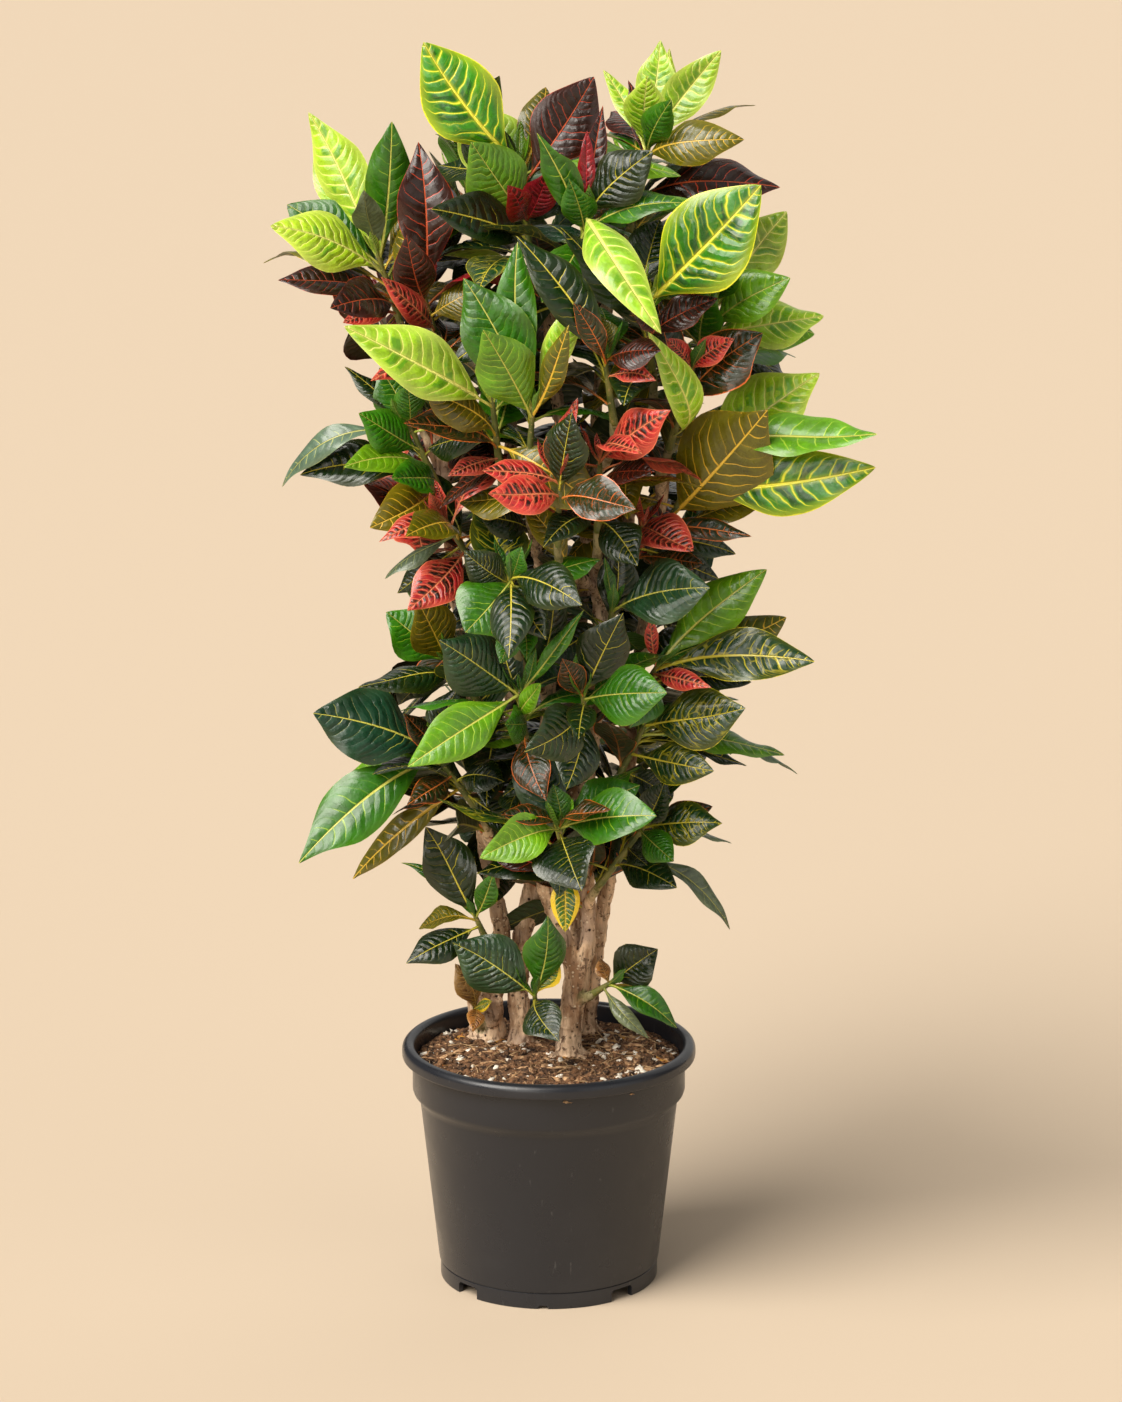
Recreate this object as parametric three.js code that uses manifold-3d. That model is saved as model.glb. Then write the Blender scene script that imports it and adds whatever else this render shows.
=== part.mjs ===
// A potted croton: a nursery pot, its soil, five woody stems and the leafy heads that they carry.
// Millimetres, +Z up, the pot's axis on Z and its foot at z = 0. The viewer stands at -Y.
import * as THREE from "three";
import Module from "manifold-3d";

const wasm = await Module();
wasm.setup();
const { Manifold, Mesh } = wasm;

// ---------- driving dimensions ----------
const RIM_RADIUS = 135;
const POT_HEIGHT = 224;
const COLLAR_RADIUS = 125.5;
const COLLAR_LOW = 180;
const WALL_TOP_RADIUS = 118.7;
const WALL_LOW_RADIUS = 101.6;
const FOOT_RADIUS = 100.6;
const FOOT_HEIGHT = 16;
const WALL = 2;
const FLOOR_UNDERSIDE = 11.5;
const FLOOR_TOP = 14;
const POT_SIDES = 36;
const DRAIN_WIDTH = 25;
const DRAIN_HEIGHT = 11;
const DRAIN_AZIMUTH = 42;
const VENT_WIDTH = 10;
const VENT_HEIGHT = 3.5;
const VENT_AZIMUTH = -3;
const SOIL_TOP = 207;
const SOIL_GAP = 0.5;
const HOLE_BOTTOM = 128;
const LEAF_THICKNESS = 2;
const SHORT_LEAF = 84;
const PETIOLE = 0.12;
const PETIOLE_HALF_WIDTH = 1.6;
const FULLNESS = 1.1;
const SHOOT_RADIUS = 3.4;
const BRANCH_RADIUS = 4.6;
const JOINT_GAP = 0.4;
const CLEARANCE = 0.4;

// The point from which the plant is described: a leaf's tip is given by the place where it is seen
// from here, as x and z on the plane y = 0, and by its depth y. FRONT_REACH draws out the depths
// on the viewer's side.
const VIEW_POINT = [11.2, -3951.8, 1500.8];
const FRONT_REACH = 1.25;

const drawnOut = (y) => (y < 0 ? y * FRONT_REACH : y);

const seen = (x, z, y) => {
  const reach = 1 - y / VIEW_POINT[1];
  return new THREE.Vector3(
    VIEW_POINT[0] + (x - VIEW_POINT[0]) * reach,
    y,
    VIEW_POINT[2] + (z - VIEW_POINT[2]) * reach,
  );
};

// ---------- the plant's plan ----------
// Woody stems: [x, y, z, radius] along each, from inside the soil to the top of the wood.
const STEMS = {
  "stem_front": [
    [19, 5, 130, 10.4], [19, 5, 216, 10.4], [21, 5, 246, 9.6], [27, 5, 284, 10.4], [35, 6, 314, 6.6],
    [36, 8, 346, 6.2], [34, 8, 400, 6.6], [34, 4, 460, 7], [39, -4, 505, 7], [43, -6, 560, 6.6],
    [48, -8, 622, 7.2], [40, -6, 680, 6], [20, 0, 760, 5.4], [5, 2, 840, 5], [0, 0, 905, 4.6],
  ],
  "stem_right": [
    [36, 75, 130, 8.2], [36, 75, 216, 8.2], [42, 70, 270, 6.8], [53, 62, 350, 6.4], [68, 52, 430, 6.2],
    [75, 44, 490, 6], [80, 40, 540, 6], [88, 36, 620, 5.6], [98, 32, 700, 5.2], [108, 25, 780, 4.8],
    [112, 20, 850, 4.6],
  ],
  "stem_left": [
    [-57, 60, 130, 14], [-57, 60, 222, 14], [-54, 50, 250, 10.4], [-44, 34, 300, 8.4], [-46, 24, 340, 7.6],
    [-54, 18, 380, 6.8], [-62, 14, 440, 6.4], [-68, 12, 520, 6], [-76, 14, 600, 5.6], [-88, 16, 700, 5.2],
    [-100, 18, 800, 4.8], [-108, 18, 850, 4.6],
  ],
  "stem_back_left": [
    [-27, 46, 130, 9.4], [-27, 46, 216, 9.4], [-29, 44, 262, 8.8], [-25, 36, 310, 9], [-14, 34, 365, 8.4],
    [-16, 50, 420, 7], [-30, 68, 490, 6.4], [-36, 80, 580, 6], [-38, 85, 700, 5.4], [-32, 80, 820, 5],
    [-28, 72, 900, 4.6],
  ],
  "stem_back_right": [
    [17, 45, 130, 8], [17, 45, 216, 8], [20, 46, 262, 7], [25, 48, 310, 6], [27, 54, 360, 5.8],
    [24, 68, 430, 6.2], [24, 86, 510, 6.2], [30, 98, 600, 5.8], [38, 102, 720, 5.4], [48, 95, 840, 5],
    [56, 85, 920, 4.6],
  ],
};

// Limbs that fork off a woody stem and are one with it, in the same form.
const LIMBS = {
  "limb_centre": { "stem": "stem_front", "rows": [
    [25, 5, 280, 8.4], [15.6, 3, 314, 7.4], [5, 0, 348, 6.8], [-6, -4, 382, 6.6], [-12, -10, 430, 6.2],
    [-8, -18, 490, 5.8], [0, -24, 547, 5.6], [0, -26, 600, 5.2], [-6, -26, 650, 4.8],
  ] },
  "limb_upper": { "stem": "stem_front", "rows": [
    [48, -8, 618, 6], [58, -10, 648, 5.4], [68, -14, 690, 5], [74, -20, 740, 4.6],
  ] },
  "stump_outer": { "stem": "stem_left", "rows": [
    [-59, 62, 212, 7], [-69, 64, 240, 7], [-74, 62, 264, 4.8],
  ] },
  "stump_inner": { "stem": "stem_left", "rows": [
    [-56, 58, 212, 6], [-52, 44, 236, 7.4], [-49, 34, 254, 5],
  ] },
  "stump_middle": { "stem": "stem_back_left", "rows": [
    [-25, 44, 214, 5.6], [-14, 33, 226, 6.4], [-8, 28, 241, 4.6],
  ] },
};

// Leafy heads. stem and fork: the woody stem or limb that carries the head and the height where its
// branch leaves it. base and top: the green shoot's two ends, each [x, z, y] as seen from the view point.
// leaves: [s, x, z, dy, width, face, bend, kind, turn]. s is the root's place on the shoot, x and z
// are where the tip is seen, dy is its depth past the root, face is the blade's tilt (0 looks up,
// 90 looks at the viewer), bend is the arch as a share of the length, and turn swings the face
// round to the right. more: how many leaves the rule below adds round the sides and the back.
const HEADS = {
  "head_top_left": { "stem": "stem_left", "fork": 760, "base": [-128, 880, -5], "top": [-150, 950, -15],
    "colour": "lime", "more": 5, "leaves": [
      [0.75, -245, 976, -35, 52, 48, 0.10, "lime"], [0.95, -210, 1076, 35, 42, 85, 0.04, "lime"],
      [0.9, -205, 1056, 60, 40, 80, 0.04, "lime"], [0.95, -137, 1068, -20, 38, 80, 0.06, "green"],
      [0.85, -230, 995, 30, 48, 60, 0.08, "green"], [0.6, -252, 943, 80, 28, 5, 0.12, "bronze"],
      [1, -162, 1008, -40, 26, -90, 0.02, "grey"], [0.45, -239, 928, -20, 36, 32, 0.10, "wine"],
      [0.35, -193, 903, -60, 40, 60, 0.12, "wine"], [0.8, -98, 1006, 20, 34, 25, 0.10, "bronze"],
      [0.25, -182, 890, -30, 20, 50, 0.10, "coral"]] },
  "head_upper_left": { "stem": "stem_left", "fork": 730, "base": [-92, 850, -35], "top": [-110, 915, -45],
    "colour": "wine", "more": 4, "leaves": [
      [0.95, -114, 1050, 40, 46, 90, 0.05, "wine"], [0.7, -58, 922, -10, 36, 50, 0.10, "bronze"],
      [0.5, -148, 931, -50, 26, 60, 0.12, "coral"], [0.15, -158, 838, -70, 28, 70, 0.20, "coral"],
      [0.85, -125, 968, -45, 34, 60, 0.10, "wine"]] },
  "head_top": { "stem": "stem_back_left", "fork": 820, "base": [-14, 930, -30], "top": [-24, 1032, -35],
    "colour": "green", "more": 6, "leaves": [
      [1, -109, 1137, -10, 62, 75, 0.10, "zebra"], [0.6, -66, 1088, 40, 58, 80, 0.05, "lime"],
      [0.45, -68, 1050, -30, 56, 60, 0.08, "fresh"], [0.8, 40, 1107, 5, 54, 85, 0.06, "wine"],
      [0.5, -36, 1012, -60, 26, 70, 0.10, "crimson"], [0.5, 0, 1024, -55, 28, 70, 0.10, "crimson"],
      [0.2, -103, 991, -60, 44, 55, 0.08, "forest"], [0.9, -2, 1098, 45, 34, 75, 0.05, "bronze"]] },
  "head_top_middle": { "stem": "stem_front", "fork": 880, "base": [24, 925, -60], "top": [34, 986, -72],
    "colour": "green", "more": 4, "leaves": [
      [0.7, -10, 1058, -30, 28, 75, 0.06, "green"], [0.75, 18, 1018, -35, 28, 75, 0.08, "green"],
      [0.95, 92, 1042, -20, 46, 60, 0.08, "forest"], [0.75, 121, 996, -30, 32, 55, 0.10, "green"],
      [0.95, 100, 880, -110, 38, 75, 0.22, "lime"], [1, 48, 1082, 25, 18, 60, 0.05, "wine"],
      [1, 34, 1060, 0, 14, 40, 0.05, "crimson"]] },
  "head_top_right": { "stem": "stem_back_right", "fork": 860, "base": [72, 975, 0], "top": [88, 1046, 0],
    "colour": "lime", "more": 5, "leaves": [
      [1, 98, 1139, 15, 34, 80, 0.04, "lime"], [0.95, 87, 1108, -25, 34, 85, 0.04, "lime"],
      [1, 106, 1132, 35, 22, 60, 0.03, "lime"], [0.95, 151, 1130, -10, 34, 70, 0.05, "lime"],
      [0.9, 108, 1087, -50, 28, 70, 0.08, "green"], [0.85, 172, 1052, -30, 38, 35, 0.22, "bronze"],
      [0.8, 182, 1082, 40, 26, 5, 0.10, "bronze"], [0.35, 204, 1010, -20, 56, 50, 0.12, "wine"],
      [0.7, 70, 1104, 30, 16, 40, 0.05, "wine"], [0.9, 48, 1113, 50, 18, 60, 0.04, "lime"]] },
  "head_right_front": { "stem": "limb_upper", "fork": 738, "base": [92, 850, -70], "top": [80, 915, -90],
    "colour": "zebra", "more": 4, "leaves": [
      [0.8, 187, 1012, -30, 76, 70, 0.08, "zebra"], [1, 98, 982, 40, 40, 80, 0.05, "forest"],
      [0.4, 150, 912, -20, 28, 50, 0.10, "wine"]] },
  "head_right_upper": { "stem": "stem_right", "fork": 790, "base": [130, 845, -5], "top": [148, 908, -10],
    "colour": "lime", "more": 5, "leaves": [
      [0.95, 210, 989, 40, 46, 75, 0.06, "fresh"], [1, 165, 948, -20, 28, 70, 0.05, "green"],
      [0.9, 190, 928, 10, 20, 40, 0.10, "bronze"], [0.6, 214, 930, -15, 46, 60, 0.08, "green"],
      [0.5, 244, 896, 20, 48, 60, 0.06, "fresh"], [0.6, 236, 880, 65, 44, 55, 0.05, "green"],
      [0.3, 148, 925, -50, 34, 75, 0.08, "green"]] },
  "head_right_middle": { "stem": "stem_right", "fork": 720, "base": [108, 778, -50], "top": [128, 850, -65],
    "colour": "bronze", "more": 4, "leaves": [
      [0.95, 165, 876, -20, 24, 60, 0.10, "coral"], [0.95, 105, 876, -20, 18, 60, 0.08, "coral"],
      [0.5, 190, 881, -20, 54, 70, 0.08, "bronze"], [0.15, 88, 882, -50, 38, 85, 0.26, "lime", 45]] },
  "head_right_lower": { "stem": "stem_right", "fork": 650, "base": [100, 695, -30], "top": [140, 775, -45],
    "colour": "lime", "more": 5, "leaves": [
      [0.8, 241, 845, 20, 64, 70, 0.06, "lime"], [1, 293, 790, -60, 44, 60, 0.06, "fresh"],
      [0.6, 292, 760, -50, 52, 62, 0.10, "zebra"], [0.25, 195, 812, -60, 80, 75, 0.06, "bronze"],
      [0.1, 208, 735, 0, 34, 20, 0.06, "bronze"]] },
  "head_centre_right": { "stem": "stem_front", "fork": 720, "base": [58, 802, -95], "top": [50, 858, -110],
    "colour": "forest", "more": 4, "leaves": [
      [0.85, -28, 967, -10, 38, 70, 0.14, "forest"], [0.9, 22, 908, -25, 20, 70, 0.10, "ember"],
      [0.95, 100, 865, -30, 34, 40, 0.10, "wine"], [1, 45, 897, 10, 26, 70, 0.05, "bronze"],
      [0.7, 96, 838, -30, 18, 50, 0.10, "coral"]] },
  "head_centre_left": { "stem": "limb_centre", "fork": 648, "base": [-18, 755, -95], "top": [-14, 812, -110],
    "colour": "green", "more": 3, "leaves": [
      [0.95, -75, 930, 0, 56, 80, 0.06, "green"], [0.85, -58, 884, -35, 48, 80, 0.06, "fresh"],
      [1, -27, 962, 10, 34, 85, 0.04, "green"], [0.95, 31, 916, -10, 24, 70, 0.05, "lime"],
      [0.9, 18, 888, -40, 22, 60, 0.06, "bronze"]] },
  "head_left_front": { "stem": "stem_back_left", "fork": 660, "base": [-44, 765, -80], "top": [-50, 820, -95],
    "colour": "lime", "more": 3, "leaves": [
      [0.9, -181, 887, -40, 52, 62, 0.12, "lime"], [0.2, -129, 800, -50, 38, 45, 0.10, "ember"],
      [0.4, -113, 831, -35, 40, 55, 0.12, "bronze"], [0.05, -90, 752, -40, 20, 50, 0.10, "coral"]] },
  "head_left_upper": { "stem": "stem_left", "fork": 660, "base": [-96, 738, -20], "top": [-125, 800, -30],
    "colour": "green", "more": 5, "leaves": [
      [1, -181, 851, 20, 20, 50, 0.05, "forest"], [0.6, -169, 809, -30, 38, 60, 0.08, "green"],
      [0.8, -150, 850, 10, 40, 75, 0.06, "green"], [1, -125, 835, -20, 26, 70, 0.05, "green"],
      [0.85, -238, 742, 10, 24, 30, 0.25, "grey"], [0.25, -222, 753, -10, 42, 45, 0.10, "forest"],
      [0.35, -183, 760, -50, 32, 55, 0.10, "fresh"], [0.1, -140, 750, -60, 34, 60, 0.10, "green"],
      [0.1, -160, 705, -60, 44, 75, 0.15, "bronze"]] },
  "head_centre": { "stem": "stem_front", "fork": 630, "base": [8, 690, -100], "top": [10, 748, -115],
    "colour": "coral", "more": 3, "leaves": [
      [0.8, 21, 810, -25, 38, 80, 0.06, "forest"], [1, 6, 802, -10, 22, 70, 0.05, "ember"],
      [1, 26, 823, 10, 18, 70, 0.05, "coral"], [0.95, -59, 757, -30, 28, 55, 0.10, "coral"],
      [0.75, -54, 736, -55, 34, 60, 0.10, "coral"], [0.7, 78, 722, -45, 38, 50, 0.10, "ember"]] },
  "head_centre_small": { "stem": "stem_front", "fork": 640, "base": [44, 705, -72], "top": [46, 768, -90],
    "colour": "coral", "more": 3, "leaves": [
      [0.95, 109, 812, -40, 38, 60, 0.12, "coral"], [0.9, 84, 772, -50, 22, 50, 0.10, "coral"],
      [0.1, -5, 687, -50, 28, 50, 0.08, "forest"], [0.1, 80, 670, -50, 36, 65, 0.12, "forest"]] },
  "head_right_red": { "stem": "stem_front", "fork": 610, "base": [72, 655, -30], "top": [84, 708, -45],
    "colour": "coral", "more": 4, "leaves": [
      [0.9, 130, 684, -55, 40, 60, 0.15, "coral"], [0.8, 182, 697, -20, 20, 50, 0.08, "ember"],
      [0.7, 168, 681, 20, 28, 50, 0.10, "forest"], [0.4, 139, 672, -30, 24, 40, 0.08, "ember"],
      [0.6, 153, 658, 0, 30, 60, 0.10, "forest"]] },
  "head_left_red": { "stem": "stem_left", "fork": 580, "base": [-64, 665, -40], "top": [-92, 712, -55],
    "colour": "coral", "more": 4, "leaves": [
      [1, -152, 692, -40, 24, 50, 0.20, "coral"], [0.6, -128, 697, -60, 36, 45, 0.08, "bronze"],
      [0.7, -147, 658, -10, 24, 15, 0.06, "grey"], [0.4, -127, 629, -45, 38, 65, 0.12, "coral"],
      [0.5, -136, 645, 15, 26, 60, 0.08, "forest"]] },
  "head_left_middle": { "stem": "stem_left", "fork": 500, "base": [-64, 545, -25], "top": [-90, 580, -35],
    "colour": "green", "more": 5, "leaves": [
      [1, -146, 628, 0, 46, 75, 0.05, "green"], [0.95, -120, 642, -25, 44, 75, 0.06, "bronze"],
      [0.6, -172, 558, -45, 38, 50, 0.10, "forest"]] },
  "head_centre_dark": { "stem": "limb_centre", "fork": 540, "base": [-30, 600, -90],
    "top": [-34, 660, -105], "colour": "forest", "more": 3, "leaves": [
      [0.95, -75, 609, -40, 58, 72, 0.15, "green"], [1, -24, 688, -15, 20, 70, 0.05, "green"],
      [0.9, -76, 684, -20, 32, 60, 0.15, "forest"], [0.9, -36, 585, -55, 36, 80, 0.15, "forest"],
      [0.95, -2, 602, -45, 34, 75, 0.12, "forest"], [0.4, -20, 583, -50, 20, 70, 0.10, "green"],
      [0.3, -44, 580, -20, 20, 60, 0.12, "green"], [1, 30, 634, -50, 40, 70, 0.12, "forest"]] },
  "head_centre_silver": { "stem": "limb_centre", "fork": 455, "base": [-22, 515, -80],
    "top": [-26, 554, -95], "colour": "silver", "more": 3, "leaves": [
      [0.9, -99, 602, -35, 54, 62, 0.04, "silver"], [0.4, -7, 562, -40, 18, 60, 0.08, "fresh"],
      [0.95, -128, 484, -45, 42, 68, 0.12, "fresh"], [0.3, -40, 524, -40, 32, 70, 0.15, "green"],
      [1, 32, 630, -10, 14, 60, 0.08, "green"], [0.05, -2, 452, -40, 32, 80, 0.10, "ember"]] },
  "head_star_upper": { "stem": "stem_front", "fork": 480, "base": [35, 515, -75], "top": [31, 550, -90],
    "colour": "green", "more": 3, "leaves": [
      [1, 67, 627, -10, 44, 80, 0.06, "forest"], [0.9, 107, 553, -45, 50, 62, 0.10, "green"],
      [0.7, 27, 510, -60, 24, 85, 0.12, "forest"], [0.8, -22, 498, -55, 48, 75, 0.15, "forest"],
      [0.4, 16, 463, -45, 36, 85, 0.10, "forest"], [1, 12, 585, -20, 24, 80, 0.04, "ember"],
      [1, 30, 598, 10, 16, 70, 0.05, "fresh"]] },
  "head_right_grey": { "stem": "stem_front", "fork": 570, "base": [50, 588, -60], "top": [57, 630, -75],
    "colour": "silver", "more": 4, "leaves": [
      [0.95, 145, 650, -35, 56, 62, 0.08, "silver"], [0.6, 62, 690, 10, 34, 80, 0.05, "forest"]] },
  "head_right_long": { "stem": "stem_right", "fork": 500, "base": [74, 540, -35], "top": [98, 578, -45],
    "colour": "forest", "more": 4, "leaves": [
      [0.9, 240, 582, -30, 46, 48, 0.06, "net"], [1, 172, 605, 10, 36, 50, 0.08, "green"],
      [0.8, 147, 558, -50, 18, 50, 0.10, "coral"], [0.7, 211, 577, 20, 26, 40, 0.05, "fresh"],
      [1, 92, 625, -10, 12, 60, 0.02, "coral"], [0.5, 183, 563, 0, 36, 55, 0.08, "forest"],
      [1, 196, 667, 30, 44, 75, 0.05, "fresh"], [1, 214, 623, 45, 44, 45, 0.05, "bronze"],
      [1, 152, 624, 25, 36, 60, 0.06, "green"]] },
  "head_right_net": { "stem": "stem_right", "fork": 430, "base": [60, 468, -30], "top": [88, 525, -45],
    "colour": "forest", "more": 4, "leaves": [
      [0.95, 178, 539, -25, 52, 65, 0.08, "net"], [0.8, 214, 495, 10, 28, 38, 0.10, "fresh"],
      [0.7, 180, 485, 30, 24, 40, 0.05, "forest"], [0.75, 226, 477, 50, 18, 15, 0.15, "grey"],
      [0.5, 150, 480, -45, 36, 52, 0.08, "net"], [0.2, 112, 455, 0, 26, 60, 0.10, "forest"]] },
  "head_star_lower": { "stem": "stem_front", "fork": 360, "base": [12, 392, -85], "top": [10, 428, -100],
    "colour": "green", "more": 3, "leaves": [
      [0.95, 98, 438, -45, 50, 62, 0.10, "green"], [1, 83, 467, 15, 44, 65, 0.10, "green"],
      [1, 57, 444, -35, 26, 38, 0.10, "ember"], [0.8, 30, 367, -55, 58, 80, 0.12, "forest"],
      [0.9, -63, 398, -35, 38, 50, 0.20, "fresh"], [0.5, 9, 361, -20, 26, 80, 0.10, "silver"],
      [1, 4, 468, -10, 22, 75, 0.10, "green"], [0.95, -43, 439, -30, 22, 35, 0.10, "ember"],
      [0.05, 15, 328, -20, 24, 85, 0.10, "yellow"]] },
  "head_right_low": { "stem": "stem_front", "fork": 340, "base": [48, 375, -20], "top": [88, 430, -35],
    "colour": "ember", "more": 4, "leaves": [
      [0.95, 158, 431, -25, 38, 60, 0.10, "net"], [1, 149, 447, 10, 24, 50, 0.08, "ember"],
      [0.8, 167, 412, 20, 14, 30, 0.10, "grey"], [0.9, 114, 395, -45, 28, 75, 0.12, "green"],
      [0.3, 117, 370, -45, 34, 60, 0.12, "forest"], [0.5, 166, 330, 10, 20, 30, 0.15, "grey"],
      [0.6, 90, 391, -30, 16, 50, 0.10, "forest"], [0.4, 100, 405, 0, 28, 50, 0.10, "forest"],
      [1, 105, 470, -10, 28, 60, 0.10, "forest"]] },
  "head_left_long": { "stem": "stem_left", "fork": 395, "base": [-64, 442, -15], "top": [-104, 498, -25],
    "colour": "green", "more": 4, "leaves": [
      [0.95, -213, 534, -25, 66, 62, 0.08, "silver"], [0.9, -228, 393, -50, 52, 62, 0.10, "green"],
      [0.8, -186, 473, 20, 36, 55, 0.08, "fresh"], [1, -131, 534, -30, 22, 50, 0.10, "ember"],
      [0.4, -179, 378, 10, 30, 50, 0.10, "bronze"], [0.6, -129, 448, -50, 26, 50, 0.12, "ember"],
      [0.5, -40, 470, -40, 32, 60, 0.10, "forest"], [0.9, -80, 560, 5, 36, 70, 0.10, "forest"]] },
  "sprout_left": { "stem": "stem_left", "fork": 290, "base": [-57, 320, 0], "top": [-67, 343, -5],
    "colour": "forest", "more": 1, "leaves": [
      [0.9, -112, 428, -10, 44, 78, 0.04, "forest"], [1, -50, 386, -30, 20, 75, 0.05, "green"],
      [0.8, -119, 331, 10, 24, 40, 0.20, "bronze"], [0.6, -131, 298, -25, 32, 50, 0.08, "forest"],
      [0.95, -135, 394, 30, 12, 40, 0.15, "green"]] },
  "sprout_front": { "stem": "stem_back_right", "fork": 216, "base": [-11, 246, -8], "top": [-13, 268, -18],
    "colour": "silver", "more": 0, "leaves": [
      [0.95, -88, 318, -10, 52, 78, 0.06, "silver"], [1, -1, 344, -10, 38, 85, 0.06, "green"],
      [1, 9, 302, 5, 24, 60, 0.10, "yellow"], [0.8, 10, 223, -45, 36, 85, 0.15, "green"]] },
  "sprout_right": { "stem": "stem_front", "fork": 250, "base": [42, 270, -8], "top": [56, 279, -14],
    "colour": "forest", "more": 0, "leaves": [
      [1, 100, 312, -10, 40, 70, 0.08, "forest"], [0.9, 118, 236, -20, 24, 50, 0.25, "green"],
      [0.7, 112, 252, 20, 18, 35, 0.20, "bronze"], [0.6, 92, 226, -30, 14, 50, 0.20, "grey"],
      [1, 47, 303, 10, 14, 70, 0.05, "dry"]] },
  "sprout_dried": { "stem": "stem_left", "fork": 216, "base": [-66, 242, 42], "top": [-68, 256, 38],
    "colour": "dry", "more": 0, "leaves": [
      [1, -86, 298, -10, 26, 60, 0.20, "dry"], [0.8, -70, 232, -30, 16, 70, 0.20, "dry"],
      [0.9, -52, 262, -20, 12, 60, 0.10, "yellow"]] },
  "head_back_top_left": { "stem": "stem_back_left", "fork": 840, "base": [-62, 945, 70],
    "top": [-72, 1010, 88], "colour": "lime", "more": 9, "leaves": [] },
  "head_back_top_right": { "stem": "stem_back_right", "fork": 880, "base": [62, 960, 92],
    "top": [70, 1026, 108], "colour": "zebra", "more": 9, "leaves": [] },
  "head_back_top": { "stem": "stem_back_left", "fork": 780, "base": [-5, 900, 135], "top": [-4, 960, 160],
    "colour": "green", "more": 9, "leaves": [] },
  "head_back_left_upper": { "stem": "stem_left", "fork": 700, "base": [-132, 850, 62], "top": [-152, 905, 78],
    "colour": "wine", "more": 9, "leaves": [] },
  "head_back_right_upper": { "stem": "stem_right", "fork": 740, "base": [140, 850, 62], "top": [158, 905, 78],
    "colour": "green", "more": 9, "leaves": [] },
  "head_back_middle_left": { "stem": "stem_back_left", "fork": 690, "base": [-48, 790, 150],
    "top": [-56, 842, 175], "colour": "bronze", "more": 9, "leaves": [] },
  "head_back_middle_right": { "stem": "stem_back_right", "fork": 680, "base": [70, 780, 155],
    "top": [80, 834, 178], "colour": "lime", "more": 9, "leaves": [] },
  "head_back_left": { "stem": "stem_left", "fork": 590, "base": [-112, 700, 52], "top": [-132, 752, 66],
    "colour": "coral", "more": 9, "leaves": [] },
  "head_back_right": { "stem": "stem_right", "fork": 590, "base": [138, 700, 55], "top": [156, 752, 70],
    "colour": "forest", "more": 9, "leaves": [] },
  "head_back_centre": { "stem": "stem_back_right", "fork": 560, "base": [8, 670, 150], "top": [8, 722, 172],
    "colour": "green", "more": 9, "leaves": [] },
  "head_back_low_left": { "stem": "stem_back_left", "fork": 480, "base": [-82, 575, 82],
    "top": [-100, 622, 96], "colour": "forest", "more": 9, "leaves": [] },
  "head_back_low_right": { "stem": "stem_back_right", "fork": 470, "base": [98, 570, 88],
    "top": [114, 616, 102], "colour": "forest", "more": 9, "leaves": [] },
  "head_back_low_centre": { "stem": "stem_back_right", "fork": 400, "base": [22, 490, 125],
    "top": [24, 534, 145], "colour": "green", "more": 8, "leaves": [] },
  "head_back_lowest": { "stem": "stem_back_left", "fork": 360, "base": [-58, 440, 92], "top": [-70, 480, 112],
    "colour": "forest", "more": 8, "leaves": [] },
};

// The crown's outline as seen from the view point: height, left edge, right edge. Leaves placed by
// rule keep inside it, and their depth keeps to an oval of the same width.
const OUTLINE = [
  [250, -40, 40], [350, -80, 50], [400, -115, 100], [450, -175, 130], [500, -185, 175], [550, -160, 190],
  [600, -130, 195], [650, -125, 150], [700, -140, 145], [750, -185, 200], [800, -145, 230],
  [850, -165, 225], [900, -190, 225], [950, -225, 190], [1000, -215, 190], [1050, -140, 150],
  [1100, -70, 120], [1125, -60, 100],
];
const DEPTH_SHARE = 1.02;

// Ways to clear a neighbour: for a leaf with a given tip, a change of depth and of arch, and for
// one placed by rule, a change of heading and of slope in degrees, and of length.
const SHIFTS = [
  [0, 0], [-12, 0], [12, 0], [-22, 0.06], [22, -0.04], [-32, 0], [32, 0], [-42, 0.08], [42, 0.08],
  [-54, 0], [54, 0], [-68, 0.05], [68, 0.05], [-84, 0], [84, 0], [-100, 0.05], [100, 0.05],
];
const TURNS = [
  [0, 0, 1], [16, 6, 1], [-16, -6, 1], [30, -8, 0.96], [-30, 8, 0.96], [46, 12, 0.92], [-46, -12, 0.92],
  [8, 20, 0.9], [-8, -20, 0.9], [62, 0, 0.85], [-62, 0, 0.85], [24, 26, 0.8], [-24, -26, 0.8],
  [80, 10, 0.75], [-80, 10, 0.75], [100, -10, 0.7], [-100, -10, 0.7],
];
const GOLDEN_ANGLE = 137.508;

// ---------- solids ----------
const solidOf = (points, faces) => new Manifold(new Mesh({
  numProp: 3,
  vertProperties: Float32Array.from(points.flatMap((p) => [p.x, p.y, p.z])),
  triVerts: Uint32Array.from(faces.flat()),
}));

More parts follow.
